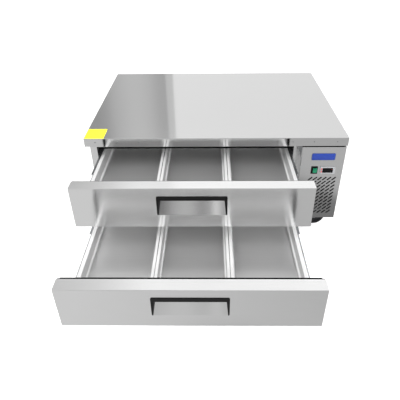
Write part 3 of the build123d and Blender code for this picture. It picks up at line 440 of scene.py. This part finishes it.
# The finish of every node whose name holds the first word
NODE_FINISH = {
    "worktop": "brushed_stainless_worktop",
    "side_panel": "brushed_stainless_body",
    "back_panel": "brushed_stainless_body",
    "face_frame": "brushed_stainless_cover",
    "condenser_cover": "brushed_stainless_cover",
    "inner_liner": "liner_steel_painted_shade",
    "evaporator_cover": "liner_steel_painted_shade",
    "base_panel": "dipped_galvanised_sheet",
    "machine_wall": "dipped_galvanised_sheet",
    "unit_tray": "dipped_galvanised_sheet",
    "fan_shroud": "dipped_galvanised_sheet",
    "foam_panels": "foamed_polyurethane",
    "front_core": "foamed_polyurethane",
    "switch_housing": "moulded_black_abs",
    "cable_gland": "moulded_black_abs",
    "grip": "moulded_black_abs",
    "controller_housing": "moulded_grey_abs",
    "controller_key": "moulded_red_silicone",
    "rocker": "moulded_green_polycarbonate",
    "compressor": "sprayed_compressor_enamel",
    "evaporator_coil": "rolled_aluminium_fin",
    "condenser_coil": "epoxy_fin_painted_shade",
    "fan": "moulded_black_polyamide",
    "refrigerant_pipes": "drawn_copper_tube",
    "caster_plates": "plated_zinc_steel",
    "caster_fork": "plated_zinc_steel",
    "caster_wheel": "cast_polyurethane_tread",
    "brake_pedal": "moulded_black_polyamide",
    "slide": "plated_slide_steel",
    "front_shell": "brushed_stainless_front",
    "gasket": "extruded_gasket_vinyl",
    "basket": "satin_stainless_rail",
    "dividers": "brushed_stainless_body",
    "pan": "pressed_stainless_pan",
}


def finish_of(node: str) -> str:
    """Gives the finish of a node by the longest listed word that its name holds."""
    return NODE_FINISH[max((word for word in NODE_FINISH if word in node), key=len)]


class Palette:
    """The materials, each made once when it is first asked for."""

    def __init__(self) -> None:
        """Starts with no material made."""
        self.made: dict[str, bpy.types.Material] = {}

    def get(self, name: str) -> bpy.types.Material:
        """Gives the material of a finish.

        Args:
            name: the finish's name.

        Returns:
            The material, made now or before.
        """
        if name not in self.made:
            self.made[name] = FINISHES[name].make()
        return self.made[name]

    def dress(self, piece: bpy.types.Object, name: str) -> None:
        """Gives a piece one finish all over."""
        piece.data.materials.clear()
        piece.data.materials.append(self.get(name))


class Side(Enum):
    """The side that a small part looks to, as the turn about X, then Z, from looking up."""

    UP = (0, 0)
    DOWN = (180, 0)
    FRONT = (90, 0)
    BACK = (90, 180)

    def at(self, x: float, y: float, z: float) -> Matrix:
        """Places a part that is drawn in mm around the origin.

        Args:
            x: its place across, in mm.
            y: its place in depth, in mm.
            z: its height, in mm.

        Returns:
            The placing, on this side of the object.
        """
        tip, turn = (math.radians(angle) for angle in self.value)
        return (Matrix.Translation(Vector((x, y, z)) * MM) @ Matrix.Rotation(turn, 4, "Z")
                @ Matrix.Rotation(tip, 4, "X") @ Matrix.Scale(MM, 4))


def box_mm(node: str) -> tuple[Vector, ...]:
    """Gives the lowest and highest corners of a node in mm."""
    return tuple(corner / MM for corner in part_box(node))


def circle(radius: float, height: float, count: int = 24) -> list[Point]:
    """Gives the points of a circle round the origin at a height."""
    turns = [2 * math.pi * i / count for i in range(count)]
    return [(radius * math.cos(t), radius * math.sin(t), height) for t in turns]


def rounded(
    width: float,
    depth: float,
    corner: float,
    height: float,
    steps: int = 6,
) -> list[Point]:
    """Gives the points of a rounded rectangle round the origin.

    Args:
        width: its length along X.
        depth: its length along Y.
        corner: the radius of its corners.
        height: how high it lies.
        steps: how many pieces each corner has.

    Returns:
        The points, anticlockwise seen from above.
    """
    points = []
    for quarter, (sx, sy) in enumerate(((1, 1), (-1, 1), (-1, -1), (1, -1))):
        for step in range(steps + 1):
            turn = math.pi / 2 * (quarter + step / steps)
            points.append((sx * (width / 2 - corner) + corner * math.cos(turn),
                           sy * (depth / 2 - corner) + corner * math.sin(turn), height))
    return points


def loft(mesh: bmesh.types.BMesh, rings: list[list[Point]], place: Matrix) -> None:
    """Skins rings of equally many points into one closed body.

    Args:
        mesh: the mesh that it is added to.
        rings: the rings, from the lowest to the last.
        place: where the drawing goes.
    """
    rows = [[mesh.verts.new(place @ Vector(point)) for point in ring] for ring in rings]
    for low, high in zip(rows, rows[1:]):
        for i, corner in enumerate(low):
            mesh.faces.new((low[i - 1], corner, high[i], high[i - 1]))
    mesh.faces.new(reversed(rows[0]))
    mesh.faces.new(rows[-1])


# The outlines of heads, from the seat on, as shares of their radius and height
SCREW_HEAD: tuple[Span, ...] = (
    (1.0, 0.0), (1.0, 0.55), (0.9, 0.85), (0.66, 1.0), (0.34, 1.0), (0.3, 0.45),
)
RIVET_HEAD: tuple[Span, ...] = ((1.0, 0.0), (0.95, 0.4), (0.75, 0.75), (0.4, 0.95), (0.1, 1.0))


def head(
    mesh: bmesh.types.BMesh,
    place: Matrix,
    outline: tuple[Span, ...],
    radius: float,
    height: float,
    sides: int,
) -> None:
    """Adds the head of a screw, bolt or rivet.

    Args:
        mesh: the mesh that it is added to.
        place: where its seat goes.
        outline: its outline, in shares of the radius and the height.
        radius: of the head.
        height: of the head.
        sides: how many points go round it.
    """
    loft(mesh, [circle(share * radius, rise * height, sides) for share, rise in outline], place)


def plate(
    mesh: bmesh.types.BMesh,
    place: Matrix,
    size: Span,
    corner: float,
    thick: float,
    edge: float,
) -> None:
    """Adds a rounded plate with softened upper edges.

    Args:
        mesh: the mesh that it is added to.
        place: where the middle of its underside goes.
        size: its width and height.
        corner: radius of its corners.
        thick: its thickness.
        edge: how far its upper edge is eased.
    """
    width, depth = size
    half = edge / 2
    loft(mesh, [
        rounded(width, depth, corner, 0.0),
        rounded(width, depth, corner, thick - edge),
        rounded(width - half, depth - half, corner - half / 2, thick - half / 2),
        rounded(width - 2 * edge, depth - 2 * edge, corner - edge, thick),
    ], place)


def new_piece(name: str, mesh: bmesh.types.BMesh, smooth: bool = True) -> bpy.types.Object:
    """Turns a bmesh into an object in the scene.

    Args:
        name: the piece's name.
        mesh: the mesh, which is freed.
        smooth: whether its faces are shaded smooth where they bend gently.

    Returns:
        The new object.
    """
    data = bpy.data.meshes.new(name)
    mesh.normal_update()
    mesh.to_mesh(data)
    mesh.free()
    for face in data.polygons:
        face.use_smooth = smooth
    if smooth:
        data.set_sharp_from_angle(angle=math.radians(SHARP_DEGREES))
    piece = bpy.data.objects.new(name, data)
    bpy.context.scene.collection.objects.link(piece)
    return piece


@dataclass(frozen=True)
class Viewpoint:
    """The camera at the photograph's place, its picture cut from a wider one."""

    at_mm: Point = (-25.8, -2067.6, 1708.3)
    pitch: float = 28.62
    yaw: float = -0.99
    roll: float = -0.76
    focal_px: float = 391.5
    centre_px: Span = (204.5, 115.0)
    frame_px: float = 400.0
    sensor_mm: float = 36.0

    def build(self) -> None:
        """Sets up the scene's camera."""
        data = bpy.data.cameras.new("camera")
        data.sensor_width = self.sensor_mm
        data.lens = self.focal_px * data.sensor_width / self.frame_px
        half = self.frame_px / 2
        data.shift_x = (half - self.centre_px[0]) / self.frame_px
        data.shift_y = (self.centre_px[1] - half) / self.frame_px
        camera = bpy.data.objects.new("camera", data)
        bpy.context.scene.collection.objects.link(camera)
        p, y, r = (math.radians(v) for v in (self.pitch, self.yaw, self.roll))
        forward = Vector((math.sin(y) * math.cos(p), math.cos(y) * math.cos(p), -math.sin(p)))
        right = forward.cross(Vector((0, 0, 1))).normalized()
        up = right.cross(forward)
        turn = Matrix.Rotation(-r, 3, forward)
        right, up = turn @ right, turn @ up
        camera.matrix_world = Matrix((
            (right.x, up.x, -forward.x, self.at_mm[0] * MM),
            (right.y, up.y, -forward.y, self.at_mm[1] * MM),
            (right.z, up.z, -forward.z, self.at_mm[2] * MM),
            (0, 0, 0, 1),
        ))
        bpy.context.scene.camera = camera


@dataclass(frozen=True)
class Surroundings:
    """White for the eye, and soft grey and white panels all round for the steel to mirror.

    A heading is an angle round the object in degrees: 0 in front, 90 to the left, 180 behind and
    270 to the right. A slit is a strip too thin for the walls' own ramp: its heading, half its
    width and its colour. Heights go from 0, level, to 1, straight up.
    """

    walls: Stops = (
        (0.0, "#9c9c9c"), (1.6, "#808080"), (2.4, "#b8b8b8"), (5.4, "#b8b8b8"),
        (6.2, "#484848"), (12.0, "#787878"), (40.0, "#c0c0c0"), (75.0, "#f4f4f4"),
        (110.0, "#e0e0e0"), (150.0, "#a8a8a8"), (162.4, "#a8a8a8"), (164.6, "#c6c6c6"),
        (167.0, "#d3d3d3"), (169.5, "#d2d2d2"), (172.2, "#b8b8b8"), (173.8, "#b8b8b8"),
        (174.8, "#ffffff"), (205.0, "#fbfbfb"), (240.0, "#d8d8d8"), (275.0, "#a8a8a8"),
        (305.0, "#ececec"), (330.0, "#c0c0c0"), (348.0, "#989898"), (360.0, "#9c9c9c"),
    )
    slits: tuple[tuple[float, float, str], ...] = (
        (173.5, 0.58, "#d8d8d8"), (174.9, 0.82, "#ffffff"), (359.2, 0.4, "#ffffff"),
    )
    ceiling: Stops = (
        (0.0, "#f6f6f6"), (25.0, "#f6f6f6"), (60.0, "#bcbcbc"), (140.0, "#bcbcbc"),
        (155.0, "#d2d2d2"), (166.0, "#ffffff"), (205.0, "#ffffff"), (225.0, "#bcbcbc"),
        (300.0, "#bcbcbc"), (335.0, "#f6f6f6"), (360.0, "#f6f6f6"),
    )
    ceiling_level: float = 1.17
    ceiling_from: Span = (0.54, 0.63)
    top_level: float = 0.62
    top_from: Span = (0.80, 0.93)

    def ring(
        self,
        tree: bpy.types.NodeTree,
        heading: bpy.types.NodeSocket,
        stops: Stops,
    ) -> bpy.types.NodeSocket:
        """Spreads colours round the object.

        Args:
            tree: the node tree it goes into.
            heading: the ray's heading as a share of the whole turn.
            stops: each heading and its colour.

        Returns:
            The output of the new ramp.
        """
        ramp = add_node(tree, "ValToRGB", None, {0: heading})
        set_stops(ramp, ((turn / 360, linear(code)) for turn, code in stops))
        return ramp.outputs[0]

    def panels(self, tree: bpy.types.NodeTree) -> bpy.types.NodeSocket:
        """Builds the walls with their slits, the ceiling over them and the top.

        Args:
            tree: the node tree they go into.

        Returns:
            The output with their colour.
        """
        place = add_node(tree, "TexCoord").outputs["Generated"]
        x, y, z = add_node(tree, "SeparateXYZ", None, {0: place}).outputs
        angle = add_node(tree, "Math", {"operation": "ARCTAN2"}, {0: x, 1: y}).outputs[0]
        heading = add_node(tree, "MapRange", None,
                           between(angle, (-math.pi, math.pi))).outputs[0]
        walls = self.ring(tree, heading, self.walls)
        for turn, half_width, code in self.slits:
            inside = add_node(tree, "Math", {"operation": "COMPARE"},
                              {0: heading, 1: turn / 360, 2: half_width / 360}).outputs[0]
            walls = add_node(tree, "Mix", MIXED,
                             {"Factor": inside, "A": walls, "B": linear(code)}).outputs["Result"]
        ceiling = add_node(tree, "Mix", TINTED,
                           {"Factor": 1.0, "A": self.ring(tree, heading, self.ceiling),
                            "B": grey(self.ceiling_level)}).outputs["Result"]
        rise = add_node(tree, "MapRange", SMOOTH, between(z, self.ceiling_from)).outputs[0]
        over = add_node(tree, "Mix", MIXED,
                        {"Factor": rise, "A": walls, "B": ceiling}).outputs["Result"]
        steep = add_node(tree, "MapRange", SMOOTH, between(z, self.top_from)).outputs[0]
        return add_node(tree, "Mix", MIXED,
                        {"Factor": steep, "A": over,
                         "B": grey(self.top_level)}).outputs["Result"]

    def build(self) -> None:
        """Surrounds the object."""
        world = bpy.data.worlds.new("studio")
        bpy.context.scene.world = world
        world.use_nodes = True
        tree = world.node_tree
        tree.nodes.clear()
        rays = add_node(tree, "LightPath").outputs
        white = add_node(tree, "Background", None,
                         {"Color": linear("#ffffff"), "Strength": 1.0}).outputs[0]
        cards = add_node(tree, "Background", None,
                         {"Color": self.panels(tree), "Strength": 1.0}).outputs[0]
        metal = add_node(tree, "MixShader", None,
                         {0: rays["Is Glossy Ray"], 1: white, 2: cards}).outputs[0]
        both = add_node(tree, "MixShader", None,
                        {0: seen_itself(tree, rays), 1: metal, 2: white}).outputs[0]
        add_node(tree, "OutputWorld", None, {"Surface": both})


@dataclass(frozen=True)
class VinylSweep:
    """Unrolled white vinyl: matt under the light, washed out to the eye, and a card to the metal.

    Reaches are distances from the object's origin and sides are places across, in metres. To the
    eye it glows more and more outwards, so that it ends in white. The metal mirrors it as a
    painted shadow: dark near the object, mostly before the machine compartment, darker to the
    right, and paler further out.
    """

    name: str = "unrolled_white_vinyl"
    tint: str = "#dedede"
    half_size: float = 30.0
    squares: int = 8
    glow_reach: Span = (1.3, 3.2)
    glow: Span = (0.42, 0.9)
    near_side: Span = (-0.5, 0.2)
    painted_shadow: Span = (0.62, 0.27)
    card_reach: Span = (1.06, 1.20)
    far: float = 0.69
    fade_side: Span = (-0.7, 0.5)
    fade: Span = (1.0, 0.75)

    def make(self) -> bpy.types.Material:
        """Builds the material.

        Returns:
            The new material.
        """
        made, tree = blank_material(self.name)
        white = linear("#ffffff")
        rays = add_node(tree, "LightPath").outputs
        place = add_node(tree, "TexCoord").outputs["Object"]
        across = add_node(tree, "SeparateXYZ", None, {0: place}).outputs["X"]
        reach = add_node(tree, "VectorMath", {"operation": "LENGTH"},
                         {0: place}).outputs["Value"]
        matt = add_node(tree, "BsdfDiffuse", None, {"Color": linear(self.tint)}).outputs[0]
        level = add_node(tree, "MapRange", SMOOTH,
                         between(reach, self.glow_reach, self.glow)).outputs[0]
        lift = add_node(tree, "Emission", None, {"Color": white, "Strength": level}).outputs[0]
        glow = add_node(tree, "AddShader", None, {0: matt, 1: lift}).outputs[0]
        # Painted shadow: the card that the metal sees is darker near the object and to the right,
        # standing in for the object's shade on the floor
        painted_shadow = add_node(tree, "MapRange", SMOOTH,
                        between(across, self.near_side, self.painted_shadow)).outputs[0]
        mirrored = add_node(tree, "MapRange", SMOOTH,
                            between(reach, self.card_reach, (painted_shadow, self.far))).outputs[0]
        fade = add_node(tree, "MapRange", None,
                        between(across, self.fade_side, self.fade)).outputs[0]
        faded = add_node(tree, "Math", {"operation": "MULTIPLY"},
                         {0: mirrored, 1: fade}).outputs[0]
        card = add_node(tree, "Emission", None, {"Color": white, "Strength": faded}).outputs[0]
        plain = add_node(tree, "MixShader", None,
                         {0: rays["Is Glossy Ray"], 1: matt, 2: card}).outputs[0]
        above = add_node(tree, "MixShader", None,
                         {0: seen_itself(tree, rays), 1: plain, 2: glow}).outputs[0]
        under = add_node(tree, "NewGeometry").outputs["Backfacing"]
        clear = add_node(tree, "BsdfTransparent").outputs[0]
        both = add_node(tree, "MixShader", None, {0: under, 1: above, 2: clear}).outputs[0]
        add_node(tree, "OutputMaterial", None, {"Surface": both})
        return made

    def build(self) -> None:
        """Lays the vinyl on the floor, where it keeps the object's shadow."""
        mesh = bmesh.new()
        bmesh.ops.create_grid(mesh, x_segments=self.squares, y_segments=self.squares,
                              size=self.half_size)
        floor = new_piece("floor", mesh, smooth=False)
        floor.data.materials.append(self.make())


@dataclass(frozen=True)
class Lamp:
    """A soft square lamp that looks at the object; places and sizes are in metres."""

    name: str
    at: Point
    size: float
    watts: float
    aim: Point = (0.0, -0.3, 0.4)

    def build(self) -> None:
        """Hangs the lamp, which the steel doesn't mirror: it mirrors the surroundings alone."""
        data = bpy.data.lights.new(self.name, "AREA")
        data.size, data.energy = self.size, self.watts
        lamp = bpy.data.objects.new(self.name, data)
        bpy.context.scene.collection.objects.link(lamp)
        lamp.location = self.at
        lamp.visible_glossy = False
        lamp.rotation_mode = "QUATERNION"
        lamp.rotation_quaternion = (Vector(self.aim) - Vector(self.at)).to_track_quat("-Z", "Y")


@dataclass(frozen=True)
class Studio:
    """Camera, surroundings, floor and lamps."""

    lamps: tuple[Lamp, ...] = (
        Lamp("key", (-1.6, -1.8, 3.4), 2.0, 60.0),
        Lamp("fill", (2.0, -2.4, 2.6), 2.4, 30.0),
        Lamp("front", (0.0, -3.4, 1.25), 1.6, 130.0),
        Lamp("left", (-2.8, -0.75, 1.7), 1.4, 30.0),
        Lamp("right", (2.8, -0.75, 1.7), 1.4, 30.0),
    )

    def build(self) -> None:
        """Builds the whole studio."""
        for part in (Viewpoint(), Surroundings(), VinylSweep(), *self.lamps):
            part.build()
        bpy.context.scene.view_settings.view_transform = "Standard"
        log.info("studio built")


@dataclass
class Trim:
    """A family of small pieces that are dressed and fixed to a body in the same way.

    Its sizes and places are in mm.
    """

    palette: Palette

    def fix(
        self,
        name: str,
        mesh: bmesh.types.BMesh,
        finish: str,
        slot: str,
        body: str = "cabinet",
    ) -> None:
        """Makes a piece of a mesh, gives it a finish and lets it ride on a body.

        Args:
            name: the piece's name.
            mesh: its mesh.
            finish: the name of its finish.
            slot: the record's material slot that it belongs to; not used.
            body: the body that carries it.
        """
        piece = new_piece(name, mesh)
        self.palette.dress(piece, finish)
        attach(piece, body)
        log.info("%s built on %s", name, body)


@dataclass
class WorktopTrim(Trim):
    """The blank label on the worktop's front left corner and the rivets in its lip."""

    label_middle: Span = (-609.5, -370.0)
    label_size: Span = (98.0, 93.0)
    label_corner: float = 3.0
    label_thick: float = 0.12
    label_edge: float = 0.04
    rivet_x: tuple[float, ...] = (-605.0, -490.0, -384.0, 384.0, 490.0, 605.0)
    rivet_drop: float = 22.0
    rivet_radius: float = 3.4
    rivet_height: float = 1.2
    rivet_sides: int = 24

    def make_label(self) -> None:
        """Lays the label on the steel."""
        _, high = box_mm("worktop")
        mesh = bmesh.new()
        plate(mesh, Side.UP.at(*self.label_middle, high.z), self.label_size, self.label_corner,
              self.label_thick, self.label_edge)
        self.fix("worktop_label", mesh, "coated_yellow_film", "stainless_worktop")

    def make_rivets(self) -> None:
        """Sets the domed rivets along the front lip."""
        low, high = box_mm("worktop")
        mesh = bmesh.new()
        for x in self.rivet_x:
            head(mesh, Side.FRONT.at(x, low.y, high.z - self.rivet_drop), RIVET_HEAD,
                 self.rivet_radius, self.rivet_height, self.rivet_sides)
        self.fix("lip_rivets", mesh, "tumbled_screw_steel", "stainless_worktop")

    def build(self) -> None:
        """Builds both."""
        self.make_label()
        self.make_rivets()


@dataclass
class OpeningTrim(Trim):
    """The black strip under the upper edge of each drawer opening, a painted shadow line where the
    edge overhangs the opening.
    """

    sides: Span = (-619.5, 405.5)
    edges: Span = (590.0, 356.5)
    height: float = 12.0
    depth: float = 3.0
    setback: float = 1.6
    corner: float = 1.0
    rounding: float = 0.4

    def make_strips(self) -> None:
        """Runs a strip, a painted shadow line, along both edges."""
        low, _ = box_mm("face_frame")
        left, right = self.sides
        mesh = bmesh.new()
        for edge in self.edges:
            place = Side.FRONT.at((left + right) / 2, low.y + self.setback + self.depth,
                                  edge - self.height / 2)
            plate(mesh, place, (right - left, self.height), self.corner, self.depth,
                  self.rounding)
        self.fix("opening_shadow_strips", mesh, "strip_vinyl_painted_shadow", "gasket_rubber")

    def build(self) -> None:
        """Builds them."""
        self.make_strips()


@dataclass
class GasketTrim(Trim):
    """The flap along the upper edge of the lower drawer's gasket, a black line from above."""

    end_gap: float = 11.0
    rise: float = 2.8
    corner: float = 1.0
    rounding: float = 0.3

    def make_flap(self) -> None:
        """Lays the flap on the gasket."""
        low, high = box_mm("lower_gasket")
        mesh = bmesh.new()
        plate(mesh, Side.UP.at((low.x + high.x) / 2, (low.y + high.y) / 2, high.z),
              (high.x - low.x - 2 * self.end_gap, high.y - low.y), self.corner, self.rise,
              self.rounding)
        self.fix("lower_gasket_flap", mesh, "extruded_gasket_vinyl", "gasket_rubber",
                 "lower_drawer")

    def build(self) -> None:
        """Builds it."""
        self.make_flap()


@dataclass
class ControlTrim(Trim):
    """What sits on the machine compartment's cover: the controller's lens and a blank plate."""

    window: Point = (576.5, -426.4, 484.0)
    lens_size: Span = (53.0, 29.0)
    lens_corner: float = 2.0
    lens_thick: float = 0.5
    lens_edge: float = 0.2
    pane_size: Span = (40.0, 18.0)
    pane_corner: float = 1.5
    pane_thick: float = 0.1
    pane_edge: float = 0.05
    diode_at: Span = (597.0, 491.5)
    diode_radius: float = 1.1
    diode_wall: float = 0.2
    diode_height: float = 0.3
    diode_sides: int = 12
    plate_middle: Span = (546.0, 567.0)
    plate_size: Span = (122.0, 44.0)
    plate_corner: float = 8.0
    plate_thick: float = 1.6
    plate_rim: float = 4.0
    rim_edge: float = 0.5
    enamel_edge: float = 0.6

    def make_lens(self) -> None:
        """Sets the smoked lens in the controller's window, with its unlit pane."""
        x, y, z = self.window
        lens = bmesh.new()
        plate(lens, Side.FRONT.at(x, y, z), self.lens_size, self.lens_corner, self.lens_thick,
              self.lens_edge)
        self.fix("controller_lens", lens, "moulded_smoked_acrylic", "bezel_plastic")
        pane = bmesh.new()
        plate(pane, Side.FRONT.at(x, y - self.lens_thick, z), self.pane_size, self.pane_corner,
              self.pane_thick, self.pane_edge)
        self.fix("controller_pane", pane, "moulded_smoked_acrylic", "bezel_plastic")

    def make_diode(self) -> None:
        """Sets the diode beside the pane."""
        across, up = self.diode_at
        outline = ((1.0, 0.0), (1.0, self.diode_wall / self.diode_height), (0.5, 1.0))
        mesh = bmesh.new()
        head(mesh, Side.FRONT.at(across, self.window[1] - self.lens_thick, up), outline,
             self.diode_radius, self.diode_height, self.diode_sides)
        self.fix("controller_diode", mesh, "cast_amber_epoxy", "key_plastic")

    def make_plate(self) -> None:
        """Fixes a blank enamelled plate in a steel rim above the controls."""
        low, _ = box_mm("condenser_cover")
        across, up = self.plate_middle
        width, height = self.plate_size
        half_thick = self.plate_thick / 2
        rim = bmesh.new()
        plate(rim, Side.FRONT.at(across, low.y, up), self.plate_size, self.plate_corner,
              half_thick, self.rim_edge)
        self.fix("plate_rim", rim, "tumbled_screw_steel", "stainless_body")
        enamel = bmesh.new()
        plate(enamel, Side.FRONT.at(across, low.y - half_thick, up),
              (width - self.plate_rim, height - self.plate_rim),
              self.plate_corner - self.plate_rim / 2, half_thick, self.enamel_edge)
        self.fix("plate_enamel", enamel, "fired_blue_enamel", "stainless_body")

    def build(self) -> None:
        """Builds them all."""
        self.make_lens()
        self.make_diode()
        self.make_plate()


@dataclass
class BackTrim(Trim):
    """Screws round the back panel, the upper row clear of the worktop's lip."""

    inset: float = 11.0
    top_inset: float = 60.0
    columns: int = 7
    rows: int = 4
    head_radius: float = 4.2
    head_height: float = 2.0
    head_sides: int = 20

    def make_screws(self) -> None:
        """Drives the screws round the panel's border."""
        low, high = box_mm("back_panel")
        left, right = low.x + self.inset, high.x - self.inset
        bottom, top = low.z + self.inset, high.z - self.top_inset
        across = [left + (right - left) * i / (self.columns - 1) for i in range(self.columns)]
        up = [bottom + (top - bottom) * i / (self.rows - 1) for i in range(self.rows)]
        spots = [(x, z) for x in across for z in (bottom, top)]
        spots += [(x, z) for x in (left, right) for z in up[1:-1]]
        mesh = bmesh.new()
        for x, z in spots:
            head(mesh, Side.BACK.at(x, high.y, z), SCREW_HEAD, self.head_radius,
                 self.head_height, self.head_sides)
        self.fix("back_screws", mesh, "tumbled_screw_steel", "stainless_body")

    def build(self) -> None:
        """Builds them."""
        self.make_screws()


@dataclass
class CasterTrim(Trim):
    """Bolts in the caster plates."""

    corners: tuple[tuple[int, int], ...] = ((-1, -1), (1, -1), (-1, 1), (1, 1))
    kingpin: Span = (546.0, 289.0)
    plate_thick: float = 3.0
    bolt_inset: float = 12.0
    bolt_radius: float = 6.5
    bolt_height: float = 4.5
    bolt_sides: int = 6

    def make_bolts(self) -> None:
        """Screws the four bolts into each plate from below."""
        _, high = box_mm("caster_plates")
        pin_x, pin_y = self.kingpin
        half_wide = high.x - pin_x - self.bolt_inset
        half_deep = high.y - pin_y - self.bolt_inset
        under = high.z - self.plate_thick
        mesh = bmesh.new()
        for side, end in self.corners:
            for dx in (-half_wide, half_wide):
                for dy in (-half_deep, half_deep):
                    head(mesh, Side.DOWN.at(side * pin_x + dx, end * pin_y + dy, under),
                         SCREW_HEAD, self.bolt_radius, self.bolt_height, self.bolt_sides)
        self.fix("caster_bolts", mesh, "tumbled_screw_steel", "caster_zinc")

    def build(self) -> None:
        """Builds them."""
        self.make_bolts()


def dress_nodes(palette: Palette) -> None:
    """Gives every node of the frame its finish.

    Args:
        palette: the materials.
    """
    for name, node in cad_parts.items():
        finish = finish_of(name)
        palette.dress(node, finish)
        log.info("%s dressed as %s", name, finish)


def main() -> None:
    """Builds the studio, dresses the frame and adds the small pieces, in that order."""
    logging.basicConfig(level=logging.INFO, format="%(message)s")
    palette = Palette()
    Studio().build()
    dress_nodes(palette)
    for trim in (WorktopTrim, OpeningTrim, GasketTrim, ControlTrim, BackTrim, CasterTrim):
        trim(palette).build()


if __name__ == "__main__":
    main()
